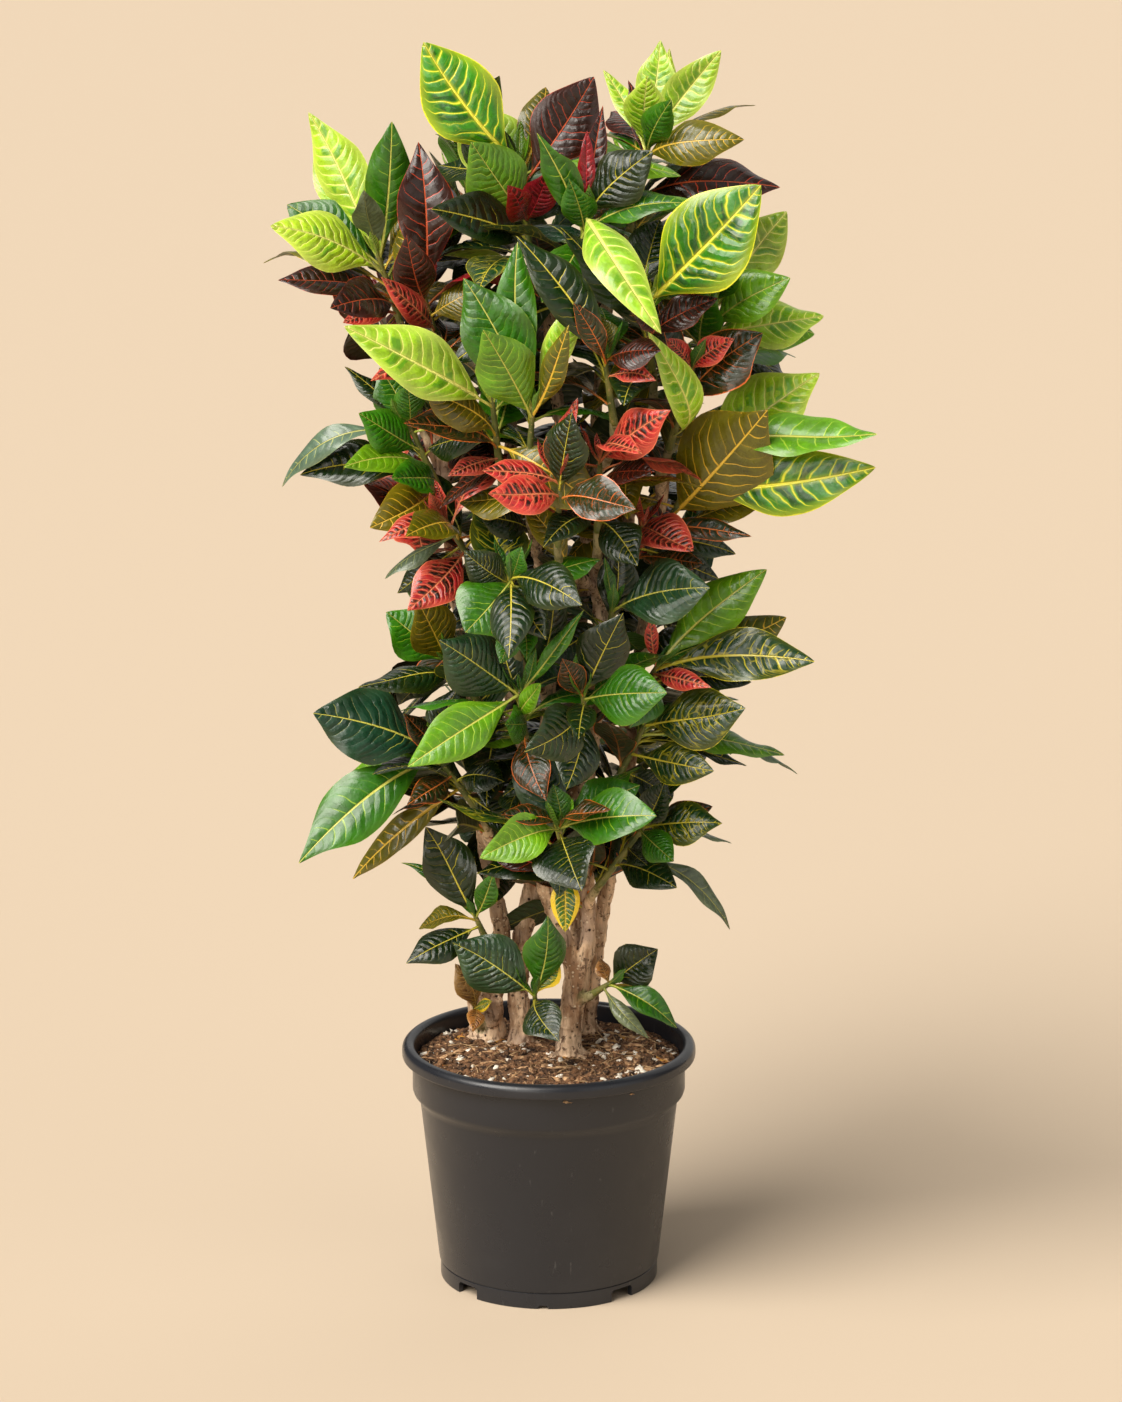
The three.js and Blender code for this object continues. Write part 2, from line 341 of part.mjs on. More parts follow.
// A closed tube through the given centres, with one radius for each and flat ends. The far end is
// cut square to endHeading where one is given.
function tube(centres, radii, sides, endHeading = null) {
  const points = [];
  const faces = [];
  let across = null;
  centres.forEach((centre, i) => {
    const before = centres[Math.max(i - 1, 0)];
    const after = centres[Math.min(i + 1, centres.length - 1)];
    const square = endHeading && i === centres.length - 1;
    const along = square ? endHeading : after.clone().sub(before).normalize();
    if (!across) across = Math.abs(along.z) > 0.9 ? new THREE.Vector3(1, 0, 0) : new THREE.Vector3(0, 0, 1);
    across = across.clone().addScaledVector(along, -across.dot(along)).normalize();
    const other = along.clone().cross(across);
    for (let k = 0; k < sides; k += 1) {
      const angle = (2 * Math.PI * k) / sides;
      points.push(centre.clone()
        .addScaledVector(across, radii[i] * Math.cos(angle))
        .addScaledVector(other, radii[i] * Math.sin(angle)));
    }
    if (i === 0) return;
    for (let k = 0; k < sides; k += 1) {
      const a = (i - 1) * sides + k;
      const b = (i - 1) * sides + ((k + 1) % sides);
      faces.push([a, b, b + sides], [a, b + sides, a + sides]);
    }
  });
  const last = (centres.length - 1) * sides;
  for (let k = 1; k < sides - 1; k += 1) {
    faces.push([0, k + 1, k], [last, last + k, last + k + 1]);
  }
  return solidOf(points, faces);
}

// ---------- leaves ----------
const halfWidthAt = (t, width) => {
  if (t <= PETIOLE) return PETIOLE_HALF_WIDTH;
  const u = (t - PETIOLE) / (1 - PETIOLE);
  return FULLNESS * (width / 2) * Math.sin(Math.PI * u) ** 0.8;
};

// A blade's section as [across, up] corners: flat above, with the midrib's ridge below. The room kept
// round it, grow wider on every side, has upright edges.
const sectionAt = (half, grow) => {
  const ridge = [0, -LEAF_THICKNESS - grow];
  if (grow === 0) return [[half, 0], [-half, 0], ridge];
  const out = half + grow;
  return [[out, grow], [-out, grow], [-out, -grow], ridge, [out, -grow]];
};

// A leaf blade from its place t = start on the midrib to the tip, arched towards the upper face.
// grow makes it the room that the blade needs.
function blade(leaf, start = 0, grow = 0) {
  const along = leaf.tip.clone().sub(leaf.root);
  const length = along.length();
  const ahead = along.clone().normalize();
  const up = leaf.face.clone().addScaledVector(ahead, -leaf.face.dot(ahead)).normalize();
  const side = up.clone().cross(ahead);
  const stations = (length > SHORT_LEAF ? [PETIOLE, 0.36, 0.7] : [PETIOLE, 0.5]).filter((t) => t >= start);
  const sections = stations.map((t) => {
    const centre = leaf.root.clone().addScaledVector(along, t)
      .addScaledVector(up, leaf.bend * length * 4 * t * (1 - t));
    return sectionAt(halfWidthAt(t, leaf.width), grow)
      .map(([across, above]) => centre.clone().addScaledVector(side, across).addScaledVector(up, above));
  });
  const count = sections[0].length;
  const points = sections.flat();
  const faces = [];
  const sides = sections[0].map((_, k) => [k, (k + 1) % count]);
  for (let at = count; at < points.length; at += count) {
    const from = at - count;
    for (const [a, b] of sides) faces.push([from + a, from + b, at + b], [from + a, at + b, at + a]);
  }
  const last = points.length - count;
  const tip = points.push(leaf.tip.clone().addScaledVector(ahead, 2 * grow)) - 1;
  for (const [a, b] of sides) faces.push([last + a, last + b, tip]);
  if (start > 0) {
    for (let k = 2; k < count; k += 1) faces.push([0, k, k - 1]);
  } else {
    const root = points.push(leaf.root.clone().addScaledVector(ahead, -2 * grow)) - 1;
    for (const [a, b] of sides) faces.push([b, a, root]);
  }
  return solidOf(points, faces);
}

// Which way a blade's upper side looks, from its tilt and turn in degrees.
const faceOf = (tilt, turn) => {
  const a = THREE.MathUtils.degToRad(tilt);
  const b = THREE.MathUtils.degToRad(turn);
  return new THREE.Vector3(Math.sin(a) * Math.sin(b), -Math.sin(a) * Math.cos(b), Math.cos(a));
};

// A repeatable random number in 0..1.
const randomFrom = (seed) => {
  let state = seed >>> 0;
  return () => {
    state = (state + 0x6D2B79F5) >>> 0;
    let t = Math.imul(state ^ (state >>> 15), state | 1);
    t ^= t + Math.imul(t ^ (t >>> 7), t | 61);
    return ((t ^ (t >>> 14)) >>> 0) / 4294967296;
  };
};

const edgesAt = (z) => {
  const i = OUTLINE.findIndex((row) => row[0] >= z);
  if (i < 1) return i === 0 ? OUTLINE[0] : null;
  const [low, high] = [OUTLINE[i - 1], OUTLINE[i]];
  const share = (z - low[0]) / (high[0] - low[0]);
  return low.map((value, k) => value + (high[k] - value) * share);
};

const insideCrown = (tip) => {
  const reach = 1 - tip.y / VIEW_POINT[1];
  const x = VIEW_POINT[0] + (tip.x - VIEW_POINT[0]) / reach;
  const edges = edgesAt(VIEW_POINT[2] + (tip.z - VIEW_POINT[2]) / reach);
  if (!edges) return false;
  const half = (edges[2] - edges[1]) / 2;
  const middle = (edges[2] + edges[1]) / 2;
  return Math.hypot((x - middle) / half, tip.y / (half * DEPTH_SHARE)) < 1;
};

// ---------- heads ----------
const heads = Object.entries(HEADS).map(([name, plan], order) => {
  const base = seen(plan.base[0], plan.base[1], drawnOut(plan.base[2]));
  const top = seen(plan.top[0], plan.top[1], drawnOut(plan.top[2]));
  const rise = top.clone().sub(base);
  return { name, plan, order, base, rise, heading: rise.clone().normalize() };
});
const onShoot = (head, s) => head.base.clone().addScaledVector(head.rise, Math.min(s, 0.97));

// The leaves that a head's plan gives, each as the list of its possible forms.
function plannedLeaves(head) {
  return head.plan.leaves.map(([s, x, z, deeper, width, tilt, bend, , turn = 0]) => {
    const root = onShoot(head, s);
    return SHIFTS.map(([shift, arch]) => {
      const tip = seen(x, z, root.y + drawnOut(deeper) + shift);
      return { root, tip, width, bend: bend + arch, face: faceOf(tilt, turn) };
    });
  });
}

// The leaves that the rule adds: a spiral round the shoot, from upright young ones at its top to
// level or hanging old ones, facing away from the planned ones where a head has both.
function ruledLeaves(head) {
  const random = randomFrom(1000 + 17 * head.order);
  const count = head.plan.more;
  const away = head.plan.leaves.length > 0;
  const start = away ? 90 : 360 * random();
  return Array.from({ length: count }, (_, i) => {
    const share = (i + 0.5) / count;
    const spread = away ? (share - 0.5) * 230 : i * GOLDEN_ANGLE;
    const heading = start + spread + 24 * (random() - 0.5);
    const slope = (away ? 34 : 66) - (away ? 50 : 76) * (away ? random() : share) + 14 * (random() - 0.5);
    const length = 92 + 46 * random();
    const width = length * (0.34 + 0.12 * random());
    const bend = 0.06 + 0.1 * random();
    const root = onShoot(head, 0.95 - 0.85 * share);
    return TURNS.map(([turn, tilt, size]) => {
      const a = THREE.MathUtils.degToRad(heading + turn);
      const b = THREE.MathUtils.degToRad(slope + tilt);
      const tip = root.clone().add(new THREE.Vector3(
        Math.cos(a) * Math.cos(b), Math.sin(a) * Math.cos(b), Math.sin(b)).multiplyScalar(length * size));
      return { root, tip, width: width * size, bend, face: new THREE.Vector3(0, 0, 1) };
    }).filter((leaf) => insideCrown(leaf.tip));
  });
}

// ---------- wood, and room for the leaves ----------
const obstacles = [];
const boxesMeet = (a, b) => [0, 1, 2].every((k) => a.min[k] < b.max[k] && b.min[k] < a.max[k]);
const meets = (solid, box, other) => {
  if (!boxesMeet(box, other.box)) return false;
  const common = solid.intersect(other.solid);
  const found = !common.isEmpty();
  common.delete();
  return found;
};
const addObstacle = (solid, owner) => obstacles.push({ solid, owner, box: solid.boundingBox() });

function addTubeObstacles(centres, radii, sides, owner) {
  for (let i = 1; i < centres.length; i += 1) {
    addObstacle(tube(centres.slice(i - 1, i + 1), radii.slice(i - 1, i + 1), sides), owner);
  }
}

const WOOD_SIDES = 6;
const BRANCH_SIDES = 4;
const SHOOT_SIDES = 4;
const woodParts = {};
for (const [name, rows] of Object.entries(STEMS)) {
  const limbs = Object.values(LIMBS).filter((limb) => limb.stem === name).map((limb) => limb.rows);
  woodParts[name] = [rows, ...limbs].map((line) => {
    const centres = line.map(([x, y, z]) => new THREE.Vector3(x, y, z));
    const radii = line.map((row) => row[3]);
    addTubeObstacles(centres, radii, WOOD_SIDES, name);
    return tube(centres, radii, WOOD_SIDES);
  });
}

const shootParts = {};
for (const head of heads) {
  const centres = [0, 1.08].map((s) => head.base.clone().addScaledVector(head.rise, s));
  const radii = [SHOOT_RADIUS, SHOOT_RADIUS * 0.6];
  const solid = tube(centres, radii, SHOOT_SIDES);
  shootParts[head.name] = solid;
  addObstacle(solid, head.name);
}

// The place at a given height on a woody stem or limb.
function onWood(name, height) {
  const rows = STEMS[name] ?? LIMBS[name].rows;
  const i = Math.max(rows.findIndex((row) => row[2] >= height), 1);
  const [low, high] = [rows[i - 1], rows[i]];
  const share = (height - low[2]) / (high[2] - low[2]);
  const at = low.map((value, k) => value + (high[k] - value) * share);
  return new THREE.Vector3(at[0], at[1], at[2]);
}

// A branch rises from its stem and ends square under its head's shoot, bowed to one side where the
// straight way is taken.
const BOWS = [[0, 0]];
for (const size of [12, 24, 36, 48]) {
  for (let k = 0; k < 8; k += 1) BOWS.push([size, (k * Math.PI) / 4]);
}
const BRANCH_STEPS = 2;
const unplaced = [];
for (const head of heads) {
  const { stem: carrier, fork } = head.plan;
  const stem = LIMBS[carrier]?.stem ?? carrier;
  const start = onWood(carrier, fork);
  const end = head.base.clone().addScaledVector(head.heading, -JOINT_GAP);
  const span = start.distanceTo(end);
  const placed = BOWS.some(([size, angle]) => {
    const bow = new THREE.Vector3(size * Math.cos(angle), size * Math.sin(angle), 0);
    const curve = new THREE.CubicBezierCurve3(
      start,
      start.clone().add(new THREE.Vector3(0, 0, span * 0.3)).add(bow),
      end.clone().addScaledVector(head.heading, -span * 0.35).add(bow),
      end,
    );
    const centres = curve.getPoints(BRANCH_STEPS);
    const radii = centres.map((_, i) => BRANCH_RADIUS - 0.4 * i);
    const room = tube(centres, radii.map((r) => r + 2 * CLEARANCE), BRANCH_SIDES, head.heading);
    const box = room.boundingBox();
    const taken = obstacles.some((o) => o.owner !== stem && o.owner !== head.name && meets(room, box, o));
    room.delete();
    if (taken) return false;
    woodParts[stem].push(tube(centres, radii, BRANCH_SIDES, head.heading));
    addTubeObstacles(centres, radii, BRANCH_SIDES, stem);
    return true;
  });
  if (!placed) unplaced.push(head.name);
}
if (unplaced.length) throw new Error(`no way clear for the branch of ${unplaced.join(", ")}`);

// Each leaf takes the first of its forms that leaves its neighbours clear.
const FREE_OF_SHOOT = 0.3;
const leafParts = Object.fromEntries(heads.map((head) => [head.name, []]));
let leftOut = 0;
function placeLeaf(head, forms) {
  const form = forms.find((leaf) => {
    const whole = blade(leaf, 0, CLEARANCE);
    const outer = blade(leaf, FREE_OF_SHOOT, CLEARANCE);
    const box = whole.boundingBox();
    const taken = obstacles.some((o) => {
      if (o.owner !== head.name) return meets(whole, box, o);
      return o.outer ? meets(outer, box, { solid: o.outer, box: o.box }) : false;
    });
    whole.delete();
    outer.delete();
    return !taken;
  });
  if (!form) {
    leftOut += 1;
    return;
  }
  const solid = blade(form);
  leafParts[head.name].push(solid);
  obstacles.push({
    solid, owner: head.name, box: solid.boundingBox(), outer: blade(form, FREE_OF_SHOOT),
  });
}
for (const head of heads) plannedLeaves(head).forEach((forms) => placeLeaf(head, forms));
for (const head of heads) ruledLeaves(head).forEach((forms) => placeLeaf(head, forms));
const leafCount = Object.values(leafParts).reduce((sum, list) => sum + list.length, 0);

// ---------- pot ----------
const ring = (radius, z) => new THREE.Vector2(radius, z);
const wallRadius = (z) => WALL_LOW_RADIUS
  + (WALL_TOP_RADIUS - WALL_LOW_RADIUS) * ((z - FOOT_HEIGHT) / (COLLAR_LOW - 10 - FOOT_HEIGHT));

// A closed solid turned about the pot's axis from a profile that closes on itself.
function turned(profile, sides) {
  const points = [];
  const faces = [];
  const count = profile.length;
  profile.forEach((p) => {
    for (let k = 0; k < sides; k += 1) {
      const angle = (2 * Math.PI * k) / sides;
      points.push(new THREE.Vector3(p.x * Math.sin(angle), -p.x * Math.cos(angle), p.y));
    }
  });
  for (let i = 0; i < count; i += 1) {
    const next = (i + 1) % count;
    for (let k = 0; k < sides; k += 1) {
      const a = i * sides + k;
      const b = i * sides + ((k + 1) % sides);
      const c = next * sides + ((k + 1) % sides);
      const d = next * sides + k;
      faces.push([a, b, c], [a, c, d]);
    }
  }
  return { points, faces };
}

const boxAt = (width, depth, height, azimuth, radius, z) => {
  const geometry = new THREE.BoxGeometry(width, depth, height);
  geometry.translate(0, -radius, z);
  geometry.rotateZ(THREE.MathUtils.degToRad(azimuth));
  const position = geometry.getAttribute("position");
  const corners = [];
  const ids = [];
  for (let i = 0; i < position.count; i += 1) {
    const p = new THREE.Vector3().fromBufferAttribute(position, i);
    const known = corners.findIndex((q) => q.distanceTo(p) < 1e-4);
    ids.push(known < 0 ? corners.push(p) - 1 : known);
  }
  const index = Array.from(geometry.index.array, (i) => ids[i]);
  return solidOf(corners, Array.from({ length: index.length / 3 }, (_, i) => index.slice(3 * i, 3 * i + 3)));
};

// The floor has a round hole on the axis, and a slot beside each drain notch in the foot.
const FLOOR_HOLE_RADIUS = 9;
const SLOT_WIDTH = 14;
const SLOT_DEPTH = 16;
const CUT_DEPTH = 20;

function potSolid() {
  const collarInside = COLLAR_RADIUS - WALL;
  const profile = [
    ring(FOOT_RADIUS - 5, 0), ring(FOOT_RADIUS, 0), ring(FOOT_RADIUS, FOOT_HEIGHT - 1),
    ring(WALL_LOW_RADIUS, FOOT_HEIGHT + 0.6), ring(WALL_TOP_RADIUS, COLLAR_LOW - 10),
    ring(COLLAR_RADIUS, COLLAR_LOW), ring(COLLAR_RADIUS, POT_HEIGHT - 13),
    ring(RIM_RADIUS - 1.8, POT_HEIGHT - 12.4), ring(RIM_RADIUS, POT_HEIGHT - 4.5),
    ring(RIM_RADIUS - 3, POT_HEIGHT), ring(RIM_RADIUS - 8, POT_HEIGHT - 0.6),
    ring(collarInside, POT_HEIGHT - 4), ring(collarInside, COLLAR_LOW + 2),
    ring(WALL_TOP_RADIUS - WALL, COLLAR_LOW - 9), ring(wallRadius(FLOOR_TOP) - WALL, FLOOR_TOP),
    ring(FLOOR_HOLE_RADIUS, FLOOR_TOP), ring(FLOOR_HOLE_RADIUS, FLOOR_UNDERSIDE),
    ring(FOOT_RADIUS - 6, FLOOR_UNDERSIDE),
  ];
  const shape = turned(profile, POT_SIDES);
  let pot = solidOf(shape.points, shape.faces);
  for (let k = 0; k < 4; k += 1) {
    const drainAt = DRAIN_AZIMUTH + 90 * k;
    const ventAt = VENT_AZIMUTH + 90 * k;
    const drain = boxAt(DRAIN_WIDTH, CUT_DEPTH, 2 * DRAIN_HEIGHT, drainAt, FOOT_RADIUS - 2, 0);
    const vent = boxAt(VENT_WIDTH, CUT_DEPTH, 2 * VENT_HEIGHT, ventAt, FOOT_RADIUS - 2, 0);
    const slot = boxAt(SLOT_WIDTH, SLOT_DEPTH, CUT_DEPTH, drainAt, FOOT_RADIUS - 18, FLOOR_TOP);
    pot = pot.subtract(drain).subtract(vent).subtract(slot);
  }
  return pot;
}

// ---------- soil ----------
const FIRST_CRUMBLY_RING = 4;
const HOLE_GAP = 1.8;

// How far the soil's loose top rises or falls at a place, in two crossed swells.
const crumbs = (x, y) => 1.5 * Math.sin(0.19 * x + 1.3) * Math.sin(0.17 * y + 0.4)
  + 0.9 * Math.sin(0.43 * x - 0.31 * y);

function soilSolid() {
  const collarSide = COLLAR_RADIUS - WALL - SOIL_GAP;
  const bottom = FLOOR_TOP + SOIL_GAP;
  const rings = [
    [wallRadius(bottom) - WALL - SOIL_GAP, bottom], [WALL_TOP_RADIUS - WALL - SOIL_GAP, COLLAR_LOW - 9],
    [collarSide, COLLAR_LOW + 3], [collarSide, SOIL_TOP - 3], [104, SOIL_TOP], [68, SOIL_TOP + 1.4],
    [30, SOIL_TOP + 2.4],
  ];
  const points = [];
  const faces = [];
  rings.forEach(([radius, z], i) => {
    for (let k = 0; k < POT_SIDES; k += 1) {
      const angle = (2 * Math.PI * k) / POT_SIDES;
      const x = radius * Math.sin(angle);
      const y = -radius * Math.cos(angle);
      points.push(new THREE.Vector3(x, y, i < FIRST_CRUMBLY_RING ? z : z + crumbs(x, y)));
      if (i === 0) continue;
      const next = (k + 1) % POT_SIDES;
      const [a, b] = [(i - 1) * POT_SIDES + k, (i - 1) * POT_SIDES + next];
      faces.push([a, b, b + POT_SIDES], [a, b + POT_SIDES, a + POT_SIDES]);
    }
  });
  const low = points.push(new THREE.Vector3(0, 0, bottom)) - 1;
  const high = points.push(new THREE.Vector3(0, 0, SOIL_TOP + 2.8)) - 1;
  const lastRing = (rings.length - 1) * POT_SIDES;
  for (let k = 0; k < POT_SIDES; k += 1) {
    const next = (k + 1) % POT_SIDES;
    faces.push([low, next, k], [high, lastRing + k, lastRing + next]);
  }
  let soil = solidOf(points, faces);
  for (const rows of Object.values(STEMS)) {
    const [x, y, , radius] = rows[0];
    const hole = tube([new THREE.Vector3(x, y, HOLE_BOTTOM), new THREE.Vector3(x, y, SOIL_TOP + 20)],
      [radius + HOLE_GAP, radius + HOLE_GAP], WOOD_SIDES + 2);
    soil = soil.subtract(hole);
  }
  return soil;
}

// ---------- the assembled plant ----------
const COLOURS = {
  pot: 0x25272a, soil: 0x3a2718, bark: 0x8f745c, lime: 0x9cc52a, green: 0x2f8a1e, forest: 0x16401c,
  zebra: 0x5f9a1f, bronze: 0x5d5a1c, wine: 0x4a1714, coral: 0xd0523f, ember: 0x7a3a1c, silver: 0x4f6b5c,
  dry: 0x9a6a2c,
};

const group = new THREE.Group();
function addPiece(name, solid, colour, roughness) {
  const mesh = solid.getMesh();
  const geometry = new THREE.BufferGeometry();
  geometry.setAttribute("position", new THREE.BufferAttribute(mesh.vertProperties, 3));
  geometry.setIndex(new THREE.BufferAttribute(mesh.triVerts, 1));
  geometry.computeVertexNormals();
  const material = new THREE.MeshStandardMaterial({ color: colour, roughness, metalness: 0 });
  const piece = new THREE.Mesh(geometry, material);
  piece.name = name;
  group.add(piece);
}

// Corners left nearer than this by the union of a node's pieces are merged.
const FINEST_EDGE = 0.02;
addPiece("pot", potSolid(), COLOURS.pot, 0.5);
addPiece("soil", soilSolid(), COLOURS.soil, 0.95);
for (const [name, parts] of Object.entries(woodParts)) {
  addPiece(name, Manifold.union(parts).simplify(FINEST_EDGE), COLOURS.bark, 0.85);
}
for (const head of heads) {
  const solid = Manifold.union([shootParts[head.name], ...leafParts[head.name]]).simplify(FINEST_EDGE);
  addPiece(head.name, solid, COLOURS[head.plan.colour], 0.4);
}
group.userData = { leafCount, leftOut };

// The origin lies under the middle of the whole plant, level with the pot's foot.
const middle = new THREE.Box3().setFromObject(group).getCenter(new THREE.Vector3());
group.position.set(-middle.x, -middle.y, 0);

export default group;
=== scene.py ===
"""A potted croton: the fine surfaces of its pot, soil, wood and leaves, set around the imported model."""

import math
import random
from collections import namedtuple

import bmesh
import bpy
import numpy as np
from mathutils import Matrix, Vector, noise
from mathutils.kdtree import KDTree


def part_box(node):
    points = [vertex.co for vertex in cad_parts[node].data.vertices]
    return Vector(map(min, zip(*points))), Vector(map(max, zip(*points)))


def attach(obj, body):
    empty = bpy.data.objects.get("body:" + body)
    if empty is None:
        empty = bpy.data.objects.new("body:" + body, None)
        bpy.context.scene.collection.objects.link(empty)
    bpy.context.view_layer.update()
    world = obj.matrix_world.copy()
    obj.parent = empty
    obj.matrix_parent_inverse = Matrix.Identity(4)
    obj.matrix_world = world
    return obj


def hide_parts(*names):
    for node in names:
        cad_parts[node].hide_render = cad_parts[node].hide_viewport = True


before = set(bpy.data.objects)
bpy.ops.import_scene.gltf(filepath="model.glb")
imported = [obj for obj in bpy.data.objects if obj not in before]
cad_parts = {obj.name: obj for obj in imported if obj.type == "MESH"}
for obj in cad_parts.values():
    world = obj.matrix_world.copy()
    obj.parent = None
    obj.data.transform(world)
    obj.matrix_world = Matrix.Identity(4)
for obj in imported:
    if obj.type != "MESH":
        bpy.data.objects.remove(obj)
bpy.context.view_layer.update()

# ---------- units and places ----------
# Sizes are in millimetres round the pot's axis, as on the real plant, and become metres in the
# row's frame when a mesh is made.
MM = 0.001
POT_LOW, POT_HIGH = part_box("pot")
AXIS = np.array([(POT_LOW.x + POT_HIGH.x) / 2, (POT_LOW.y + POT_HIGH.y) / 2, 0.0])
SOIL_TOP = 207.0
SOIL_RADIUS = 123.0

VIEW_POINT = np.array([11.2, -3951.8, 1500.8])
VIEW_AIM = np.array([11.2, 0.0, 545.5])
VIEW_LENS = 115.55
FRONT_REACH = 1.25


def metres(points):
    """Points of the plan, in millimetres round the pot's axis, in the row's frame."""
    return np.asarray(points, float) * MM + AXIS


def unit(vector):
    return vector / np.linalg.norm(vector)


def other_axis(along):
    """An axis well away from a direction, to turn into one across it."""
    return np.array([1.0, 0, 0]) if abs(along[2]) > 0.9 else np.array([0, 0, 1.0])


def linear(red, green, blue):
    """A colour given as screen values 0..255, as linear light."""
    shares = (red / 255, green / 255, blue / 255)
    return tuple(((c + 0.055) / 1.055) ** 2.4 if c > 10 / 255 else c / 12.92 for c in shares)


def smooth(low, high, x):
    s = np.clip((np.asarray(x, float) - low) / (high - low), 0, 1)
    return s * s * (3 - 2 * s)


def table(text):
    """The words of each line after its first, by that first word."""
    return {name: words for name, *words in (line.split() for line in text.strip().splitlines())}


# ---------- meshes ----------
def make_object(name, mesh, material=None, slot=None, replaces=()):
    piece = bpy.data.objects.new(name, mesh)
    bpy.context.scene.collection.objects.link(piece)
    if material:
        mesh.materials.clear()
        mesh.materials.append(material)
    if slot:
        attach(piece, "root")
    if replaces:
        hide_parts(*replaces)
    return piece


def mesh_of(name, points, faces, marks=None, sharp=None):
    """A smooth-shaded mesh from points in metres. marks: {attribute name: one row for each point}.
    sharp: for each point, whether it lies on a sharp rim."""
    mesh = bpy.data.meshes.new(name)
    points = np.asarray(points, np.float32)
    sizes = np.array([len(f) for f in faces], np.int32)
    mesh.vertices.add(len(points))
    mesh.vertices.foreach_set("co", points.ravel())
    mesh.loops.add(int(sizes.sum()))
    mesh.loops.foreach_set("vertex_index", np.concatenate([np.asarray(f, np.int32) for f in faces]))
    mesh.polygons.add(len(faces))
    mesh.polygons.foreach_set("loop_start", np.concatenate([[0], np.cumsum(sizes)[:-1]]).astype(np.int32))
    mesh.update(calc_edges=True)
    mesh.polygons.foreach_set("use_smooth", np.ones(len(faces), bool))
    for key, rows in (marks or {}).items():
        rows = np.asarray(rows, np.float32)
        kind, slot = ("FLOAT_VECTOR", "vector") if rows.ndim == 2 else ("FLOAT", "value")
        mesh.attributes.new(key, kind, "POINT").data.foreach_set(slot, rows.ravel())
    if sharp is not None:
        pairs = np.empty(2 * len(mesh.edges), np.int32)
        mesh.edges.foreach_get("vertices", pairs)
        rim = np.asarray(sharp, bool)[pairs.reshape(-1, 2)].all(axis=1)
        mesh.attributes.new("sharp_edge", "BOOLEAN", "EDGE").data.foreach_set("value", rim)
    mesh.validate()
    return mesh


# ---------- shader graphs ----------
class Term:
    """A socket of a material's node tree, to reckon with as with a number."""

    def __init__(self, graph, socket):
        self.graph, self.socket = graph, socket

    def __add__(self, other):
        return self.graph.math("ADD", self, other)

    def __sub__(self, other):
        return self.graph.math("SUBTRACT", self, other)

    def __rsub__(self, other):
        return self.graph.math("SUBTRACT", other, self)

    def __mul__(self, other):
        return self.graph.math("MULTIPLY", self, other)

    def __truediv__(self, other):
        return self.graph.math("DIVIDE", self, other)

    def __abs__(self):
        return self.graph.math("ABSOLUTE", self)

    def times(self, factor, plus):
        return self.graph.math("MULTIPLY_ADD", self, factor, plus)


class Graph:
    """A material's node tree. An input given as a term is linked, and any other value is set."""

    def __init__(self, name):
        self.material = bpy.data.materials.new(name)
        self.material.use_nodes = True
        self.tree = self.material.node_tree
        self.tree.nodes.clear()

    def add(self, kind, inputs, out=0, **settings):
        node = self.tree.nodes.new(kind)
        for key, value in settings.items():
            setattr(node, key, value)
        for key, value in inputs.items():
            if isinstance(value, Term):
                self.tree.links.new(value.socket, node.inputs[key])
            else:
                node.inputs[key].default_value = value
        return None if out is None else Term(self, node.outputs[out])

    def math(self, operation, *values):
        return self.add("ShaderNodeMath", dict(enumerate(values)), operation=operation)

    def most(self, first, *others):
        for other in others:
            first = self.math("MAXIMUM", first, other)
        return first

    def ramp(self, value, low, high, start=0.0, end=1.0):
        inputs = {"Value": value, "From Min": low, "From Max": high, "To Min": start, "To Max": end}
        return self.add("ShaderNodeMapRange", inputs, interpolation_type="SMOOTHSTEP")

    def mix(self, share, a, b, blend="MIX"):
        a, b = ((*v, 1.0) if isinstance(v, tuple) else v for v in (a, b))
        return self.add("ShaderNodeMix", {0: share, 6: a, 7: b}, 2, data_type="RGBA", blend_type=blend)

    def vector(self, x, y, z):
        return self.add("ShaderNodeCombineXYZ", {0: x, 1: y, 2: z})

    def place(self, scale=(1.0, 1.0, 1.0)):
        here = self.add("ShaderNodeTexCoord", {}, "Object")
        return self.add("ShaderNodeMapping", {"Vector": here, "Scale": scale})

    def noise(self, vector, scale, detail=3.0, roughness=0.5):
        inputs = {"Vector": vector, "Scale": scale, "Detail": detail, "Roughness": roughness}
        return self.add("ShaderNodeTexNoise", inputs)

    def cloud(self, vector, scale, detail, low, high, roughness=0.5):
        """Soft patches: 0 where the noise is at low, 1 where it is at high."""
        return self.ramp(self.noise(vector, scale, detail, roughness), low, high)

    def cells(self, vector, scale, feature="F1"):
        return self.add("ShaderNodeTexVoronoi", {"Vector": vector, "Scale": scale}, feature=feature)

    def dice(self, *place):
        """Three random numbers for a place."""
        inputs = {"Vector": self.vector(*place)}
        return self.parts(self.add("ShaderNodeTexWhiteNoise", inputs, "Color", noise_dimensions="3D"))

    def mark(self, name, out="Vector"):
        return self.add("ShaderNodeAttribute", {}, out, attribute_name=name)

    def parts(self, vector):
        whole = self.add("ShaderNodeSeparateXYZ", {0: vector}).socket.node
        return tuple(Term(self, socket) for socket in whole.outputs)

    def finish(self, height=None, distance=0.001, strength=1.0, **inputs):
        """The surface: a Principled shader, with a bump from height where one is given."""
        inputs = {key.replace("_", " "): value for key, value in inputs.items()}
        if height is not None:
            inputs["Normal"] = self.add(
                "ShaderNodeBump", {"Height": height, "Distance": distance, "Strength": strength}
            )
        surface = self.add("ShaderNodeBsdfPrincipled", inputs)
        self.add("ShaderNodeOutputMaterial", {"Surface": surface}, None)
        return self.material


